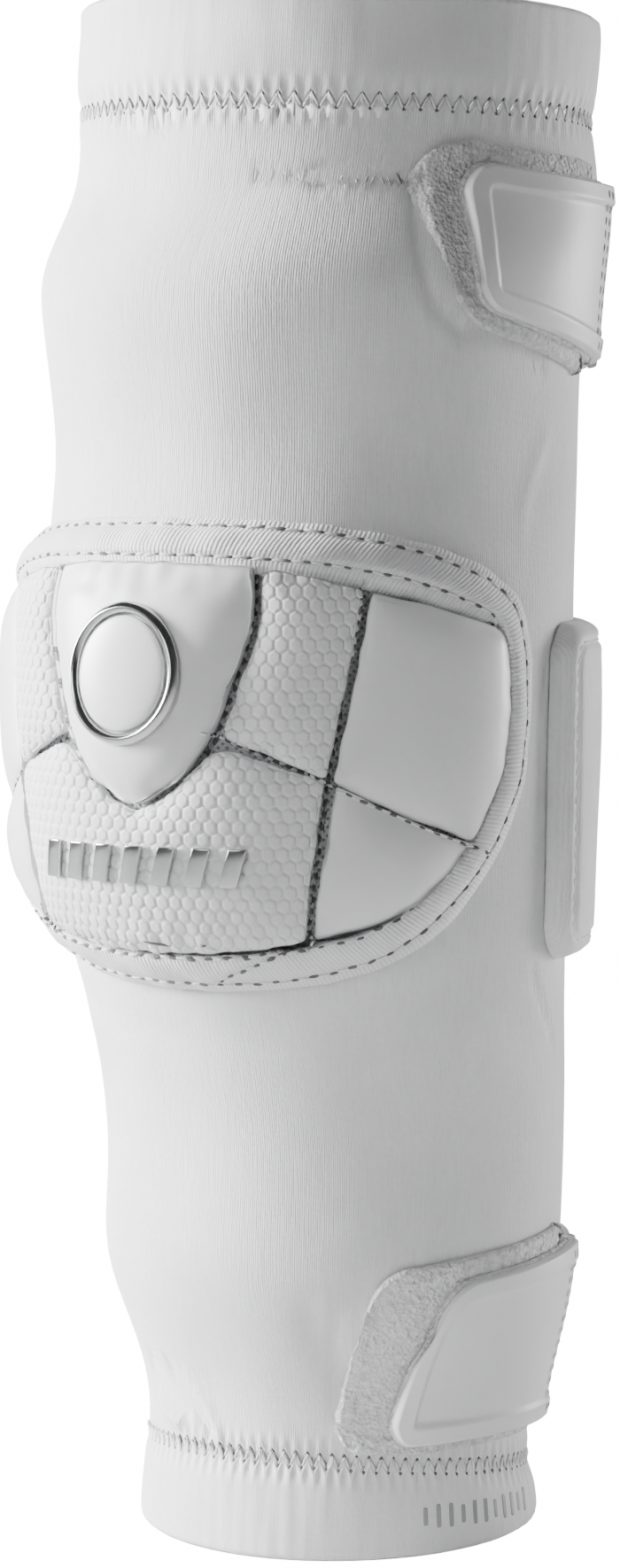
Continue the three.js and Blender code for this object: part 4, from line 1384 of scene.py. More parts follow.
@dataclass
class ElbowCap:
    """Base, tape, panels and seams of the elbow cap."""

    shop: Workshop
    outline: CapMap
    stitch: Stamp
    hole_shade: Stamp
    cell: float = 3.2 * MM
    cell_relief: float = 0.34 * MM
    most_faces: int = 88000
    stitch_pitch: float = 4.3 * MM
    stitch_width: float = 0.62 * MM
    outer_row: float = 0.17
    inner_row: float = 0.8
    panel_reach: float = 1.3 * MM
    inner_reach: float = 3.3 * MM
    inner_fall: float = 0.9 * MM
    round_depth: float = 0.9 * MM
    round_width: float = 3.2 * MM
    tape_width: float = 12.0 * MM
    outer_groove: float = 0.55 * MM
    inner_groove: float = 0.75 * MM
    groove_width: float = 0.9 * MM
    tape_crown: float = 0.25 * MM
    crown_width: float = 3.0 * MM
    crown_row: float = 0.48
    tape_unevenness: float = 0.18 * MM
    side_swell: float = 0.3 * MM
    dents: float = 0.2 * MM
    side_seam_end: Place = (72.0, -17.8 * MM)
    beside_shield: float = 1.5
    beside_channel: float = 1.3
    tape_end: Fold = Fold(((7.5, -47.4), (28.5, -36.6)), 0.5 * MM, -0.45 * MM, 0.45 * MM)
    tape_end_row: tuple[Place, Place] = ((10, -46.2 * MM), (27.5, -38.2 * MM))
    second_row: float = 0.66
    second_row_end: float = 21.0

    def build(self) -> None:
        """Builds the cap from its base out."""
        base = copy_of("cap_base", "cap_backing")
        smooth_over(base, 2)
        self.shop.hand_in(base, BACKING, "backing_mesh", ["cap_base"])
        self.tape()
        self.panel("cap_center_panel", "center_panel", SATIN, "satin_panel", False)
        for side in ("right", "left"):
            self.panel(f"cap_mid_panel_{side}", f"mid_panel_{side}", HONEYCOMB, "honeycomb_panel", True)
            for half in ("upper", "lower"):
                self.panel(f"cap_side_{half}_panel_{side}", f"side_{half}_panel_{side}", SATIN,
                           "satin_panel", False)
        self.panel("cap_lower_panel", "lower_panel", HONEYCOMB, "honeycomb_panel", True)
        self.seams()

    def tape(self) -> None:
        """Models the tape: rolled edge, sewn grooves and its own map for the ribs."""
        tape = copy_of("cap_binding", "cap_tape")
        smooth_over(tape, 3)
        spots, normals = points_of(tape), normals_of(tape)
        share, along = self.tape_map(spots)
        share = np.clip(share, -0.2, 1.2)
        groove = np.zeros(len(share))
        for row, deep in ((self.outer_row, self.outer_groove), (self.inner_row, self.inner_groove)):
            groove -= deep * np.exp(-(((share - row) * self.tape_width / self.groove_width) ** 2))
        beside_crown = (share - self.crown_row) * self.tape_width
        groove += self.tape_crown * np.exp(-((beside_crown / self.crown_width) ** 2))
        groove += self.tape_unevenness * smooth_noise(along / (9 * MM), share * 2, 21)
        groove -= self.inner_fall * step(share, 0.86, 1.0)
        groove += self.tape_end.lift(self.shop.arm, *self.shop.arm.unrolled(spots))
        spots = spots + normals * groove[:, None]
        move_points(tape, self.inwards(spots, self.inner_reach * step(share, 0.86, 1.0)))
        self.shop.hand_in(tape, TAPE, "binding_tape", ["cap_binding"])
        lay_flat(tape, along, share * self.outline.side_tape, along.max())

    def inwards(self, spots: np.ndarray, reach: np.ndarray) -> np.ndarray:
        """Points moved over the cap, square to its rim.

        Args:
            spots: The points.
            reach: How far towards the cap's middle each one goes.

        Returns:
            The moved points.
        """
        line, arm = self.outline, self.shop.arm
        angles, heights = arm.unrolled(spots)
        scale = np.array([METRES_PER_DEGREE, 1.0])
        rim, inner = np.array(line.rim(0.9)) * scale, np.array(line.rim(1.1)) * scale
        ways = (inner - rim) / np.linalg.norm(inner - rim, axis=1)[:, None]
        tree = KDTree(len(rim))
        for number, (x, y) in enumerate(rim):
            tree.insert((x, y, 0), number)
        tree.balance()
        moved = spots.copy()
        for number in np.flatnonzero(np.abs(reach) > 1e-6):
            x = angles[number] * METRES_PER_DEGREE
            across, up = ways[tree.find((x, heights[number], 0))[1]] * reach[number]
            turn = math.radians(angles[number])
            moved[number] += (math.cos(turn) * across, math.sin(turn) * across, up)
        return moved

    def tape_map(self, spots: np.ndarray) -> tuple[np.ndarray, np.ndarray]:
        """Share of the tape's width from outside in, and metres along it, of each point.

        Args:
            spots: The points.

        Returns:
            The shares and the lengths.
        """
        line = self.outline

        def polar(angles: np.ndarray, heights: np.ndarray) -> tuple[np.ndarray, np.ndarray]:
            """Turn round the cap's middle, and reach as a share of its half size."""
            across, up = angles / line.half_angle, (heights - line.middle) / line.half_height
            return np.arctan2(across, up), np.hypot(across, up)

        turn, reach = polar(*self.shop.arm.unrolled(spots))
        rims = []
        for inwards in (0.0, 1.0):
            bend, far = polar(*np.array(line.rim(inwards)).T)
            order = np.argsort(bend)
            rims.append(np.interp(turn, bend[order], far[order], period=math.tau))
        share = (rims[0] - reach) / (rims[0] - rims[1])
        middle = np.array(line.rim(0.5))
        flat = middle * (METRES_PER_DEGREE, 1)
        steps = np.linalg.norm(np.diff(np.vstack([flat, flat[:1]]), axis=0), axis=1)
        length = np.concatenate([[0], np.cumsum(steps)])
        bend = np.unwrap(polar(*middle.T)[0])
        bend = np.append(bend, bend[0] + math.copysign(math.tau, bend[-1] - bend[0]))
        place = turn.copy()
        while (place < bend.min()).any():
            place[place < bend.min()] += math.tau
        along = np.interp(place, bend, length)
        return share, along

    def panel(self, node: str, name: str, finish: Finish, slot: str, cells: bool) -> None:
        """Models one panel from its solid: rolled edges, and embossed cells if it has them.

        Args:
            node: The solid.
            name: The piece's name.
            finish: Its finish.
            slot: Its material slot.
            cells: Whether its cloth is embossed.
        """
        piece = copy_of(node, name)
        finish_with(piece, "BEVEL", width=1.0 * MM, segments=2, limit_method="ANGLE",
                    angle_limit=math.radians(50))
        smooth_over(piece, 4 if cells else 3)
        self.fill_out(piece)
        self.round_edges(piece)
        if cells:
            self.emboss(piece)
        if len(piece.data.polygons) > self.most_faces:
            finish_with(piece, "DECIMATE", ratio=self.most_faces / len(piece.data.polygons))
        self.shop.hand_in(piece, finish, slot, [node], fill=0.7)

    def fill_out(self, piece: bpy.types.Object) -> None:
        """Swells a panel's sides a little towards its seams, with soft dents along them.

        Args:
            piece: The panel.
        """
        spots, normals = points_of(piece), normals_of(piece)
        _, heights = self.shop.arm.unrolled(spots)
        outness = np.sum(level_ways(spots) * normals, axis=1)
        side = (1 - step(np.abs(outness), 0.25, 0.85)) * self.side_swell
        share, _ = self.tape_map(spots)
        near = 1 - step(share, 1.02, 1.5)
        spots = self.inwards(spots, -self.panel_reach * near)
        dents = self.dents * smooth_noise(spots[:, 0] / (5 * MM), heights / (5 * MM), 31)
        rim = 1 - step(outness, 0.8, 0.99)
        move_points(piece, spots + normals * (side + dents * rim)[:, None])

    def round_edges(self, piece: bpy.types.Object) -> None:
        """Lets a panel's top fall softly towards its edge, as cloth over foam does.

        Args:
            piece: The panel.
        """
        spots, normals = points_of(piece), normals_of(piece)
        way = level_ways(spots)
        outness = np.sum(way * normals, axis=1)
        rim = np.flatnonzero((outness > 0.1) & (outness < 0.55))
        tree = KDTree(len(rim))
        for number in rim:
            tree.insert(spots[number], int(number))
        tree.balance()
        fall = np.zeros(len(spots))
        for number in np.flatnonzero(outness > 0.1):
            away = tree.find(spots[number])[2]
            fall[number] = self.round_depth * math.exp(-away / self.round_width)
        move_points(piece, spots - way * fall[:, None])

    def emboss(self, piece: bpy.types.Object) -> None:
        """Raises a pillow in each six-sided cell of a panel's upper side.

        Args:
            piece: The panel.
        """
        spots, normals = points_of(piece), normals_of(piece)
        angles, heights = self.shop.arm.unrolled(spots)
        x = np.radians(angles) * (self.shop.arm.radius + 12 * MM) / self.cell
        y = heights / self.cell
        row = math.sqrt(3) / 2
        best = np.full(len(x), 9.0)
        for shift in (0.0, 0.5):
            dx = (x + shift + 0.5) % 1 - 0.5
            dy = (y + 2 * row * shift + row) % (2 * row) - row
            six = np.maximum(np.abs(dx), np.abs(dx) * 0.5 + np.abs(dy) * row)
            best = np.minimum(best, six)
        rise = 1 - step(best, 0.36, 0.5)
        faces_out = step(np.sum(level_ways(spots) * normals, axis=1), 0.35, 0.75)
        move_points(piece, spots + normals * (rise * self.cell_relief * faces_out)[:, None])

    def seams(self) -> None:
        """Sews the two rows on the tape and the rows between the panels."""
        line = self.outline
        pieces = self.shop.pieces
        on_tape = Skin(self.shop.arm, [pieces["cap_tape"]])
        names = [name for name in pieces if name.endswith("_panel") or "_panel_" in name]
        on_cap = Skin(self.shop.arm, [pieces[name] for name in ["cap_tape", "cap_backing", *names]])
        self.row("tape_outer_row", on_tape, line.rim(self.outer_row), True, 41)
        self.row("tape_inner_row", on_tape, line.rim(self.inner_row), True, 42)
        low = [place for place in line.rim(self.second_row)
               if place[1] < line.middle - 0.6 * line.half_height and place[0] < self.second_row_end]
        self.row("tape_second_row", on_tape, sorted(low), False, 81)
        self.row("tape_end_row", on_tape, fine(self.tape_end_row), False, 82, 3.6 * MM)
        inner = (line.shield_half(line.middle + line.seam_inner_rise), line.middle + line.seam_inner_rise)
        outer = (line.mid_edge_foot, line.middle - line.seam_outer_drop)
        for side, word in ((1, "right"), (-1, "left")):
            first = line.mirrored([inner, outer], side)
            self.row(f"mid_seam_{word}", on_cap, fine(first), False, 43 + side, 2.7 * MM)
            second = [(angle, height - math.sin(math.pi * i / 24) * line.side_sag)
                      for i, (angle, height) in enumerate(fine([outer, self.side_seam_end]))]
            self.row(f"side_seam_{word}", on_cap, line.mirrored(second, side), False, 53 + side,
                     3.4 * MM)
            beside = [(line.shield_half(height) + self.beside_shield, height)
                      for height in np.linspace(line.shield_top - 1 * MM, line.shield_tip + 5 * MM, 30)]
            self.row(f"shield_seam_{word}", on_cap, line.mirrored(beside, side), False, 63 + side,
                     2.9 * MM, GREY_THREAD)
            foot = (line.lower_edge_foot, line.middle - line.half_height + line.end_tape + 1 * MM)
            down = [(angle + self.beside_channel, height) for angle, height in fine(
                [(line.mid_edge_top, line.shield_top - 3.5 * MM), outer, foot])]
            self.row(f"channel_seam_{word}", on_cap, line.mirrored(down, side), False, 73 + side,
                     2.6 * MM, GREY_THREAD)

    def row(
        self,
        name: str,
        skin: Skin,
        path: Sequence[Place],
        closed: bool,
        seed: int,
        pitch: float | None = None,
        thread: Finish = THREAD,
    ) -> None:
        """Sews one row of stitches, with a dark blob of painted shade at the needle puncture between each
        two.

        Args:
            name: The row's name.
            skin: What it is sewn on.
            path: Its places.
            closed: Whether it runs round.
            seed: Seed of its unevenness.
            pitch: Length of a stitch with its hole.
            thread: The thread's finish.
        """
        rng = np.random.default_rng(seed)
        pitch = pitch or self.stitch_pitch
        threads, hole_shades = [], []
        for i, spot in enumerate(skin.trace(path, pitch / 2, closed)):
            axes = spot.axes(rng.normal(0, 5))
            spot.place = spot.place + axes[1] * rng.normal(0, 0.12) * MM
            if i % 2 == 0:
                threads.append((spot.place + axes[2] * 0.2 * MM,
                                sized(axes, pitch * 0.72, self.stitch_width, self.stitch_width)))
            else:
                # A dark blob of painted shade at the needle puncture.
                wide = (0.8 + rng.normal(0, 0.12)) * MM
                hole_shades.append((spot.place + axes[2] * 0.1 * MM, sized(axes, wide * 2.6, wide, 0.5 * MM)))
        self.shop.hand_in(self.stitch.set_down(name, threads), thread, "binding_tape")
        self.shop.hand_in(self.hole_shade.set_down(f"{name}_holes", hole_shades), HOLE_SHADE, "binding_tape")


@dataclass
class BadgeAndTrim:
    """The plain oval badge and the row of slanted bars."""

    shop: Workshop
    bars: int = 7

    def build(self) -> None:
        """Models the badge and the bars from their solids."""
        rim = copy_of("badge_rim", "badge_bright_rim")
        smooth_over(rim, 2)
        self.shop.hand_in(rim, SILVER, "silver_trim", ["badge_rim"])
        plate = copy_of("badge_plate", "badge_domed_plate")
        smooth_over(plate, 2)
        self.shop.hand_in(plate, BADGE_FIELD, "badge_field", ["badge_plate"])
        for number in range(1, self.bars + 1):
            bar = copy_of(f"trim_bar_{number}", f"bright_bar_{number}")
            finish_with(bar, "BEVEL", width=0.35 * MM, segments=3, limit_method="ANGLE",
                        angle_limit=math.radians(40))
            self.shop.hand_in(bar, SILVER, "silver_trim", [f"trim_bar_{number}"])


@dataclass(frozen=True)
class StrapLine:
    """Where one strap runs, and the outlines of its tab and its pile patch."""

    name: str
    height: float
    climb: float
    width: float
    narrowing: float
    tab_start: float
    tab_slant: float
    corner_above: float
    corner_below: float
    patch_start: float
    patch_slant: float
    patch_margin: float
    patch_short_below: float = 0.0
    tab_root: float = 118.0
    patch_end: float = 106.5

    def middle(self, angle: float) -> float:
        """Height of the strap's middle at an angle."""
        share = min(1.0, max(0.0, (angle - self.tab_start) / (180 - self.tab_start)))
        return self.height + self.climb * (1 - (1 - share) ** 2)

    def place(
        self, start: float, slant: float, end: float, half: float, along: float, row: float,
        radius: tuple[float, float],
    ) -> tuple[float, float, float]:
        """Angle, height and distance from the outline of a point on a tab or patch.

        Args:
            start: Angle of the free edge at mid height.
            slant: How many degrees later the free edge is at the top than at the bottom.
            end: Angle of the far edge.
            half: Half the width at the far edge.
            along: Metres from the free edge.
            row: Place across, from -1 below to 1 above.
            radius: Corner radii below and above.

        Returns:
            The angle, the height and the distance.
        """
        first = start + slant * row / 2
        angle = min(end, first + along / METRES_PER_DEGREE)
        share = min(1.0, along / ((end - start) * METRES_PER_DEGREE))
        corner = radius[1] if row > 0 else radius[0]
        short = max(0.0, 1 - along / corner)
        width = half - self.narrowing * (1 - share)
        edge = width - corner * (1 - math.sqrt(1 - short * short))
        away = edge * abs(row)
        over = away - (width - corner)
        if short > 0 and over > 0:
            inset = corner - math.hypot(corner * short, over)
        else:
            inset = min(along, edge - away)
        return angle, self.middle(angle) + edge * row, max(0.0, inset)


UPPER_STRAP = StrapLine(
    "upper", height=114.5 * MM, climb=-12 * MM, width=39 * MM, narrowing=4.5 * MM,
    tab_start=66.5, tab_slant=-5, corner_above=6.5 * MM, corner_below=5.5 * MM,
    patch_start=58, patch_slant=-12, patch_margin=3.5 * MM,
)
LOWER_STRAP = StrapLine(
    "lower", height=-131.5 * MM, climb=5.4 * MM, width=41 * MM, narrowing=2.5 * MM,
    tab_start=54.5, tab_slant=11, corner_above=12 * MM, corner_below=5.5 * MM,
    patch_start=37, patch_slant=9, patch_margin=4.2 * MM, patch_short_below=2.4 * MM,
)


@dataclass
class Straps:
    """Webbing bands, pile patches, hook layers and moulded tabs."""

    shop: Workshop
    stitch: Stamp
    under_tab: float = 2.3 * MM
    tab_thickness: float = 2.6 * MM
    flange: float = 4.6 * MM
    field_drop: float = 0.75 * MM
    edge_radius: float = 0.7 * MM
    patch_base: float = 0.35 * MM
    patch_thickness: float = 1.5 * MM
    pressed_from: float = 3.6 * MM
    pressed_depth: float = 0.55 * MM
    fibres: int = 1500
    webbing_sunk: float = 1.0 * MM
    root_fall: float = 1.3 * MM
    hook_short: float = 6.0
    seam_pitch: float = 2.8 * MM
    seam_width: float = 0.5 * MM
    seams_from_root: tuple[float, float] = (6.0, 8.5)
    seam_margin: float = 3.0 * MM
    tab_crown: float = 0.35 * MM
    hook_lift: float = 1.5 * MM
    hook_thickness: float = 1.3 * MM
    ragged_edge: float = 0.16 * MM
    fuzz_height: float = 0.1 * MM
    fibre_width: float = 0.09 * MM

    def build(self) -> None:
        """Models both straps from the inside out."""
        arm = self.shop.arm
        skin = Skin(arm, [self.shop.pieces["knit_sleeve"]])
        rng = np.random.default_rng(5)
        for line in (UPPER_STRAP, LOWER_STRAP):
            band = copy_of(f"{line.name}_strap", f"{line.name}_webbing")
            finish_with(band, "BEVEL", width=0.4 * MM, segments=2, limit_method="ANGLE",
                        angle_limit=math.radians(50))
            smooth_over(band, 2)
            spots = points_of(band)
            angles, _ = arm.unrolled(spots)
            way = np.array([tuple(arm.outward(angle)) for angle in angles])
            sunk = self.webbing_sunk * (1 - step(np.abs(angles - line.tab_root), 1.5, 5.0))
            move_points(band, spots - way * sunk[:, None])
            self.shop.hand_in(band, WEBBING, "strap_webbing", [f"{line.name}_strap"])
            self.patch(line, skin, rng)
            self.tab(line, skin)
            self.sew(line, rng)

    def sew(self, line: StrapLine, rng: np.random.Generator) -> None:
        """Sews the tab's root to the webbing.

        Args:
            line: The strap.
            rng: Source of the stitches' unevenness.
        """
        on_top = Skin(self.shop.arm, [self.shop.pieces[f"{line.name}_moulded_tab"],
                                      self.shop.pieces[f"{line.name}_webbing"]])
        threads = []
        for before in self.seams_from_root:
            angle = line.tab_root - before
            half = line.width / 2 - self.seam_margin
            path = [(angle, line.middle(angle) + half * share) for share in np.linspace(-1, 1, 20)]
            for spot in on_top.trace(path, self.seam_pitch):
                axes = spot.axes(rng.normal(0, 4))
                threads.append((spot.place + axes[2] * 0.1 * MM,
                                sized(axes, self.seam_pitch * 0.8, self.seam_width, self.seam_width)))
        self.shop.hand_in(self.stitch.set_down(f"{line.name}_tab_stitches", threads), THREAD,
                          "strap_webbing")

    def sheet(
        self,
        name: str,
        skin: Skin,
        columns: Sequence[float],
        rows: Sequence[float],
        place: Callable[[float, float], tuple[float, float, float]],
        wall: float,
    ) -> bpy.types.Object:
        """A shell over the sleeve whose points a function places.

        Args:
            name: The piece's name.
            skin: The sleeve's outside.
            columns: Metres from the free edge of each line of points.
            rows: Places across of each line of points.
            place: Gives angle, height and lift at a column and a row.
            wall: Thickness of the shell.

        Returns:
            The shell.
        """
        piece = flat_grid(name, len(columns) - 1, len(rows) - 1)
        flat = points_of(piece)
        i = np.round((flat[:, 0] + 0.5) * (len(columns) - 1)).astype(int)
        j = np.round((flat[:, 1] + 0.5) * (len(rows) - 1)).astype(int)
        places = []
        for column, row in zip(i, j):
            angle, height, lift = place(columns[column], rows[row])
            spot, _ = skin.at(angle, height)
            places.append(tuple(spot + skin.arm.outward(angle) * lift))
        move_points(piece, np.array(places))
        finish_with(piece, "SOLIDIFY", thickness=wall, offset=-1.0)
        pick(piece)
        bpy.ops.object.shade_smooth()
        return piece

    @staticmethod
    def spacing(length: float, fine: float, coarse: float) -> list[float]:
        """Places from 0 to a length, close together near 0.

        Args:
            length: The whole length.
            fine: The first gap.
            coarse: The widest gap.

        Returns:
            The places.
        """
        found, gap = [0.0], fine
        while found[-1] + gap < length:
            found.append(found[-1] + gap)
            gap = min(coarse, gap * 1.12)
        return found + [length]

    def rows_across(self, half: float) -> list[float]:
        """Places across a tab or patch, close together near both sides.

        Args:
            half: Half its width.

        Returns:
            The places, from -1 below to 1 above.
        """
        side = [x / half for x in self.spacing(half, 0.12 * MM, 0.9 * MM)]
        below = [x - 1 for x in side]
        return below + [-x for x in below[-2::-1]]

    def tab(self, line: StrapLine, skin: Skin) -> None:
        """Models one tab and the hook layer under it.

        Args:
            line: The strap.
            skin: The sleeve's outside.
        """
        length = (line.tab_root - line.tab_start + abs(line.tab_slant) / 2) * METRES_PER_DEGREE
        columns = self.spacing(length, 0.12 * MM, 0.9 * MM)
        rows = self.rows_across(line.width / 2)
        corners = (line.corner_below, line.corner_above)

        def top(along: float, row: float) -> tuple[float, float, float]:
            """Place on the tab's upper side.

            Args:
                along: Metres from the free edge.
                row: Place across, from -1 below to 1 above.

            Returns:
                The angle, the height and the lift.
            """
            angle, height, inset = line.place(
                line.tab_start, line.tab_slant, line.tab_root, line.width / 2, along, row, corners
            )
            field_in = float(step(np.array(inset), self.flange - 0.35 * MM, self.flange + 0.35 * MM))
            crown = self.tab_crown * float(step(np.array(inset), 0, self.flange))
            lift = self.under_tab + self.tab_thickness * (0.25 + 0.75 * rolled(inset, self.edge_radius))
            root = float(step(np.array(angle), line.tab_root - 4, line.tab_root))
            return angle, height, lift + crown - self.field_drop * field_in - self.root_fall * root

        tab = self.sheet(f"{line.name}_moulded_tab", skin, columns, rows, top, 0.8 * MM)
        self.shop.hand_in(tab, RUBBER, "moulded_tab", [f"{line.name}_tab"])

        def hook(along: float, row: float) -> tuple[float, float, float]:
            """Place on the hook layer, which looks out a little from under the tab.

            Args:
                along: Metres from the free edge.
                row: Place across, from -1 below to 1 above.

            Returns:
                The angle, the height and the lift.
            """
            angle, height, inset = line.place(
                line.tab_start - 0.35, line.tab_slant, line.tab_root - self.hook_short,
                line.width / 2 + 0.3 * MM, along, row, corners,
            )
            return angle, height, self.hook_lift + self.hook_thickness * rolled(inset, 0.5 * MM)

        layer = self.sheet(f"{line.name}_hook_layer", skin, columns[::2] + [columns[-1]], rows, hook,
                           0.5 * MM)
        self.shop.hand_in(layer, PILE, "loop_pile")

    def patch(self, line: StrapLine, skin: Skin, rng: np.random.Generator) -> None:
        """Models one pile patch: a soft border, a pressed middle and loose fibres.

        Args:
            line: The strap.
            skin: The sleeve's outside.
            rng: Source of its unevenness.
        """
        half = line.width / 2 + line.patch_margin
        length = (line.patch_end - line.patch_start + abs(line.patch_slant) / 2) * METRES_PER_DEGREE
        columns = self.spacing(length, 0.15 * MM, 0.7 * MM)
        rows = self.rows_across(half)
        corners = (9 * MM, 9 * MM) if line.name == "upper" else (7 * MM, 13 * MM)
        phase = rng.uniform(0, math.tau, 4)

        def pile(along: float, row: float) -> tuple[float, float, float]:
            """Place on the patch's pile.

            Args:
                along: Metres from the free edge.
                row: Place across, from -1 below to 1 above.

            Returns:
                The angle, the height and the lift.
            """
            angle, height, inset = line.place(
                line.patch_start, line.patch_slant, line.patch_end, half, along, row, corners
            )
            height += line.patch_short_below * max(0.0, -row)
            waves = math.sin(height * 900 + phase[0]) + math.sin(height * 2100 + phase[1])
            ragged = self.ragged_edge * waves
            angle -= ragged * max(0.0, 1 - along / (2 * MM)) / METRES_PER_DEGREE
            roll = rolled(inset, 0.9 * MM)
            press = float(step(np.array(inset), self.pressed_from, self.pressed_from + 1.2 * MM))
            tufts = math.sin(height * 3100 + along * 900) + math.sin(along * 4300 + phase[2])
            fuzz = self.fuzz_height * tufts
            lift = self.patch_base + self.patch_thickness * roll - self.pressed_depth * press
            return angle, height, lift + fuzz * roll

        patch = self.sheet(f"{line.name}_pile_patch", skin, columns, rows, pile, 0.4 * MM)
        self.shop.hand_in(patch, PILE, "loop_pile", [f"{line.name}_loop_patch"])
        on_patch = Skin(self.shop.arm, [patch])
        hairs = []
        for _ in range(self.fibres):
            edge = rng.random() < 0.45
            along = rng.uniform(0, 0.8 * MM) if edge else rng.uniform(0, length * 0.6)
            row = rng.uniform(-1, 1) if rng.random() < 0.6 else rng.choice((-1, 1)) * rng.uniform(0.93, 1)
            angle, height, _ = line.place(
                line.patch_start, line.patch_slant, line.patch_end, half, along, row, corners
            )
            if angle > line.patch_end - 1:
                continue
            height += line.patch_short_below * max(0.0, -row)
            spot = Spot.upright(*on_patch.at(angle, height))
            axes = spot.axes(rng.uniform(0, 360))
            tilt = rng.uniform(0.1, 0.8)
            axes = np.array([axes[0] * math.cos(tilt) + axes[2] * math.sin(tilt), axes[1],
                             axes[2] * math.cos(tilt) - axes[0] * math.sin(tilt)])
            hair = rng.uniform(0.5, 1.2) * MM
            hairs.append((spot.place, sized(axes, hair, self.fibre_width, self.fibre_width)))
        fuzz = fibre_unit().set_down(f"{line.name}_pile_fibres", hairs)
        self.shop.hand_in(fuzz, THREAD, "loop_pile")


def fibre_unit() -> Stamp:
    """Models one fibre, a thin cone one unit long from its root.

    Returns:
        The fibre's stamp.
    """
    deselect_all()
    bpy.ops.mesh.primitive_cone_add(vertices=4, radius1=0.5, radius2=0.15, depth=1)
    unit = bpy.context.object
    spots = points_of(unit)[:, [2, 0, 1]]
    spots[:, 0] += 0.5
    move_points(unit, spots)
    return Stamp(unit)


@dataclass
class SidePads:
    """The stuffed pads beside the crook of the elbow, with a sewn edge."""

    shop: Workshop
    stitch: Stamp
    start: float = 98.0
    end: float = 150.0
    height: float = 74 * MM
    below: float = 9 * MM
    thickness: float = 6.4 * MM
    shoulder: float = 4.6 * MM
    corner: float = 9 * MM
    seam_in: float = 4.4 * MM
    seam_depth: float = 0.9 * MM
    seam_pitch: float = 3.0 * MM
    seam_width: float = 0.55 * MM
    crown: float = 0.9 * MM
    ripple: float = 0.13 * MM
    off_sleeve: float = 0.3 * MM
    columns: int = 96
    rows: int = 120

    def build(self) -> None:
        """Models both pads, and sews them on."""
        skin = Skin(self.shop.arm, [self.shop.pieces["knit_sleeve"]])
        for side, word in ((1, "right"), (-1, "left")):
            self.pad(side, word, skin)

    def inset(self, along: float, up: float) -> float:
        """Distance from the pad's outline of a point.

        Args:
            along: Metres from its middle, round the arm.
            up: Metres from its middle, up the arm.

        Returns:
            The distance.
        """
        half = (self.end - self.start) / 2 * METRES_PER_DEGREE
        over = abs(along) - (half - self.corner), abs(up) - (self.height / 2 - self.corner)
        if min(over) > 0:
            return max(0.0, self.corner - math.hypot(*over))
        return max(0.0, self.corner - max(over))

    def pad(self, side: int, word: str, skin: Skin) -> None:
        """Models one pad as a crowned shell with round corners.

        Args:
            side: 1 on the right, -1 on the left.
            word: The side's name.
            skin: The sleeve's outside.
        """
        pad = flat_grid(f"crook_pad_{word}", self.columns, self.rows)
        middle = CapMap().middle - self.below
        half = (self.end - self.start) / 2 * METRES_PER_DEGREE
        tall = self.height / 2
        places = []
        for x, y, _ in points_of(pad):
            along, up = math.sin(x * math.pi) * half, math.sin(y * math.pi) * tall
            over = abs(along) - (half - self.corner), abs(up) - (tall - self.corner)
            if min(over) > 0 and math.hypot(*over) > self.corner:
                pull = self.corner / math.hypot(*over)
                along = math.copysign(half - self.corner + over[0] * pull, along)
                up = math.copysign(tall - self.corner + over[1] * pull, up)
            inset = self.inset(along, up)
            crown = self.crown * math.cos(x * math.pi) * math.cos(y * math.pi)
            line = math.exp(-(((inset - self.seam_in) / (1.0 * MM)) ** 2))
            ripple = self.ripple * math.sin((along * 0.7 + up) * 1100) * math.exp(-inset / (6 * MM))
            lift = self.off_sleeve + (self.thickness - self.crown) * rolled(inset, self.shoulder) + crown
            lift += min(1.0, inset / (1 * MM)) * (ripple - self.seam_depth * line)
            angle = side * ((self.start + self.end) / 2 + along / METRES_PER_DEGREE)
            spot, _ = skin.at(angle, middle + up)
            places.append(tuple(spot + skin.arm.outward(angle) * lift))
        move_points(pad, np.array(places))
        if side < 0:
            edit_whole(pad, bpy.ops.mesh.flip_normals)
        finish_with(pad, "SOLIDIFY", thickness=0.8 * MM, offset=-1.0)
        pick(pad)
        bpy.ops.object.shade_smooth()
        self.shop.hand_in(pad, KNIT, "knit", [f"side_pad_{word}"], fill=0.7)
        self.sew(pad, side, word)

    def sew(self, pad: bpy.types.Object, side: int, word: str) -> None:
        """Lays the stitches of a pad's sewn line.

        Args:
            pad: The pad.
            side: 1 on the right, -1 on the left.
            word: The side's name.
        """
        half = (self.end - self.start) / 2 * METRES_PER_DEGREE - self.seam_in
        tall = self.height / 2 - self.seam_in
        corner = self.corner - self.seam_in
        path = []
        for turn in np.linspace(0, math.tau, 96, endpoint=False):
            x, y = math.cos(turn), math.sin(turn)
            along = math.copysign(half - corner, x) + corner * x
            up = math.copysign(tall - corner, y) + corner * y
            angle = side * ((self.start + self.end) / 2 + along / METRES_PER_DEGREE)
            path.append((angle, CapMap().middle - self.below + up))
        dense = fine(path + [path[0]])
        rng = np.random.default_rng(91 + side)
        threads = []
        for spot in Skin(self.shop.arm, [pad]).trace(dense, self.seam_pitch):
            axes = spot.axes(rng.normal(0, 5))
            threads.append((spot.place + axes[2] * 0.12 * MM,
                            sized(axes, self.seam_pitch * 0.7, self.seam_width, self.seam_width)))
        self.shop.hand_in(self.stitch.set_down(f"crook_pad_stitches_{word}", threads), THREAD, "knit")


@dataclass(frozen=True)
class SoftLight:
    """A square soft light that looks at a height on the arm's axis."""

    name: str
    azimuth: float
    height: float
    far: float
    size: float
    watts: float
    aim: float = 0.0


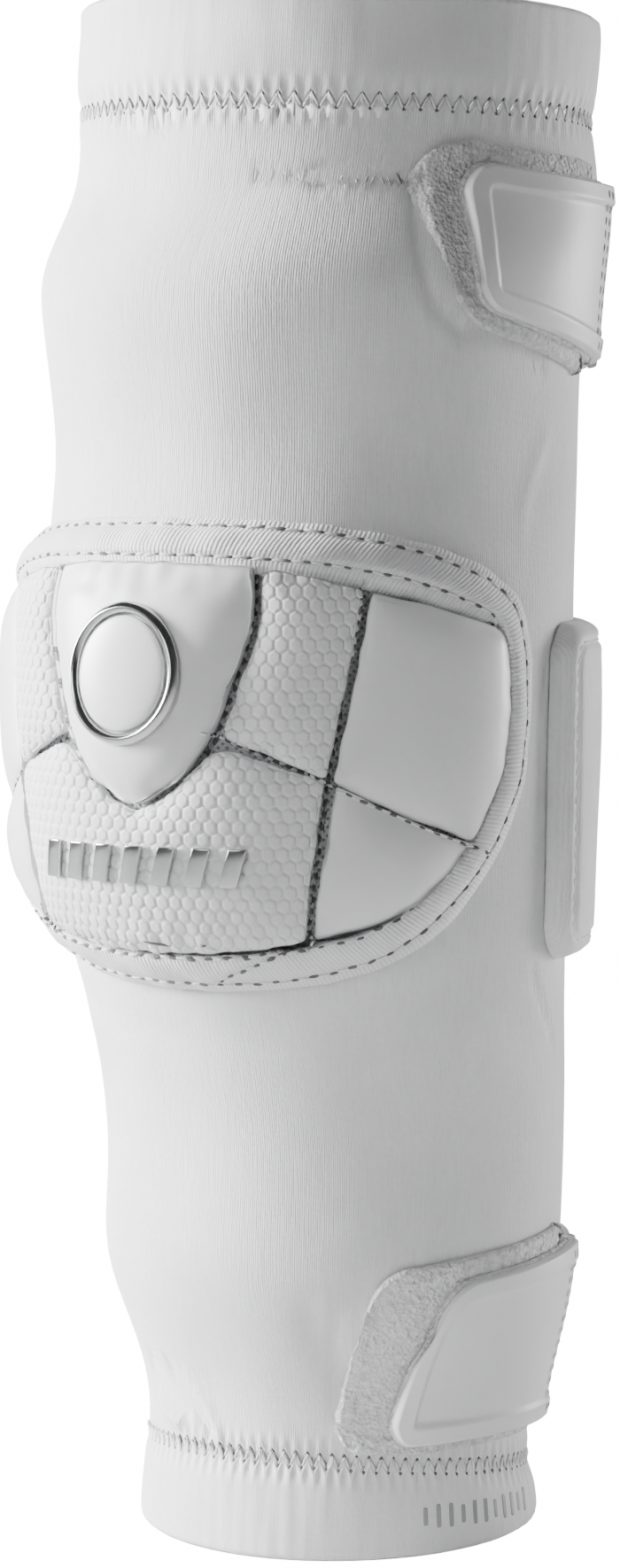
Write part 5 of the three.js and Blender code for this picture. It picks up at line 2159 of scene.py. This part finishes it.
@dataclass
class Studio:
    """Camera, soft lights and a pale round backdrop."""

    paint: Paint
    azimuth: float = 35.0
    elevation: float = 4.3
    distance: float = 1.2
    image_height: float = 0.3513
    target_height: float = -0.00695
    target_right: float = -0.00298
    floor_height: float = -0.1772
    bowl_radius: float = 3.2
    bowl_height: float = 2.6
    backdrop_glow: float = 16.0
    light_spread: float = 50.0
    room_light: float = 0.05
    floor_round: float = 1.2
    lights: tuple[SoftLight, ...] = (
        SoftLight("key_left", azimuth=-66, height=0.4, far=1.3, size=0.7, watts=13),
        SoftLight("fill_front", azimuth=0, height=0.6, far=2.0, size=0.8, watts=1.2),
        SoftLight("rim_right", azimuth=150, height=0.1, far=1.4, size=0.6, watts=2.0),
    )

    def camera(self) -> None:
        """Makes the camera at the photograph's angle."""
        turn, rise = math.radians(self.azimuth), math.radians(self.elevation)
        right = Vector((math.cos(turn), math.sin(turn), 0))
        back = Vector((math.sin(turn) * math.cos(rise), -math.cos(turn) * math.cos(rise), math.sin(rise)))
        target = right * self.target_right + Vector((0, 0, self.target_height))
        data = bpy.data.cameras.new("photo_camera")
        data.sensor_fit = "VERTICAL"
        data.sensor_height = 24
        data.lens = data.sensor_height * self.distance / self.image_height
        data.clip_start, data.clip_end = 0.01, 100
        camera = bpy.data.objects.new("photo_camera", data)
        camera.location = target + back * self.distance
        camera.rotation_euler = (-back).to_track_quat("-Z", "Y").to_euler()
        bpy.context.scene.collection.objects.link(camera)
        bpy.context.scene.camera = camera

    def light(self, light: SoftLight) -> None:
        """Adds one soft light.

        Args:
            light: Its place, size and power.
        """
        turn = math.radians(light.azimuth)
        spot = Vector((math.sin(turn) * light.far, -math.cos(turn) * light.far, light.height))
        deselect_all()
        bpy.ops.object.light_add(type="AREA", location=spot)
        lamp = bpy.context.object
        lamp.name = light.name
        lamp.data.energy = light.watts
        lamp.data.shape = "SQUARE"
        lamp.data.size = light.size
        lamp.data.spread = math.radians(self.light_spread)
        lamp.rotation_euler = (Vector((0, 0, light.aim)) - spot).to_track_quat("-Z", "Y").to_euler()

    def build(self) -> None:
        """Makes the lights, the world and the backdrop."""
        for light in self.lights:
            self.light(light)
        world = bpy.data.worlds.new("soft_room")
        world.use_nodes = True
        sky = world.node_tree.nodes["Background"]
        sky.inputs["Color"].default_value = (1, 1, 1, 1)
        sky.inputs["Strength"].default_value = self.room_light
        bpy.context.scene.world = world
        self.backdrop()

    def backdrop(self) -> None:
        """Models the round backdrop, whose wall rises from the floor in one curve."""
        deselect_all()
        bpy.ops.mesh.primitive_cylinder_add(
            vertices=96, radius=self.bowl_radius, depth=self.bowl_height, end_fill_type="TRIFAN",
            location=(0, 0, self.floor_height + self.bowl_height / 2),
        )
        bowl = bpy.context.object
        bowl.name = "pale_backdrop"
        bpy.ops.object.transform_apply(location=True, rotation=True, scale=True)
        bowl.data.materials.append(self.backdrop_paint())
        edit_whole(bowl, bpy.ops.mesh.flip_normals)
        self.open_top(bowl)
        finish_with(bowl, "BEVEL", width=self.floor_round, segments=8, limit_method="ANGLE",
                    angle_limit=math.radians(60))
        pick(bowl)
        bpy.ops.object.shade_smooth()

    def backdrop_paint(self) -> bpy.types.Material:
        """Makes the floor's finish, which shows paler to the camera than it lights the pad.

        Returns:
            The material.
        """
        material = self.paint.of(FLOOR)
        nodes, links = material.node_tree.nodes, material.node_tree.links
        glow = nodes.new("ShaderNodeEmission")
        glow.inputs["Color"].default_value = (1, 1, 1, 1)
        glow.inputs["Strength"].default_value = self.backdrop_glow
        path = nodes.new("ShaderNodeLightPath")
        mix = nodes.new("ShaderNodeMixShader")
        links.new(path.outputs["Is Camera Ray"], mix.inputs["Fac"])
        links.new(nodes["Principled BSDF"].outputs["BSDF"], mix.inputs[1])
        links.new(glow.outputs["Emission"], mix.inputs[2])
        links.new(mix.outputs["Shader"], nodes["Material Output"].inputs["Surface"])
        return material

    def open_top(self, bowl: bpy.types.Object) -> None:
        """Takes off the faces that look down from the top of the backdrop.

        Args:
            bowl: The backdrop.
        """
        top = self.floor_height + self.bowl_height
        pick(bowl)
        bpy.ops.object.mode_set(mode="EDIT")
        bpy.ops.mesh.select_all(action="DESELECT")
        bpy.ops.object.mode_set(mode="OBJECT")
        for face in bowl.data.polygons:
            face.select = face.center.z > top - 0.01
        bpy.ops.object.mode_set(mode="EDIT")
        bpy.ops.mesh.delete(type="FACE")
        bpy.ops.object.mode_set(mode="OBJECT")


def main() -> None:
    """Builds the pad from the sleeve out, then the studio."""
    logging.basicConfig(level=logging.INFO, format="%(message)s")
    paint = Paint()
    studio = Studio(paint)
    studio.camera()
    shop = Workshop(Arm(), paint)
    SleeveTube(shop).build()
    stitch, hole_shade = stitch_unit(), hole_shade_unit()
    Cuffs(shop, stitch, hole_shade).build()
    ElbowCap(shop, CapMap(), stitch, hole_shade).build()
    Overlock(shop, stitch).build()
    BadgeAndTrim(shop).build()
    Straps(shop, stitch).build()
    SidePads(shop, stitch).build()
    studio.build()


if __name__ == "__main__":
    main()
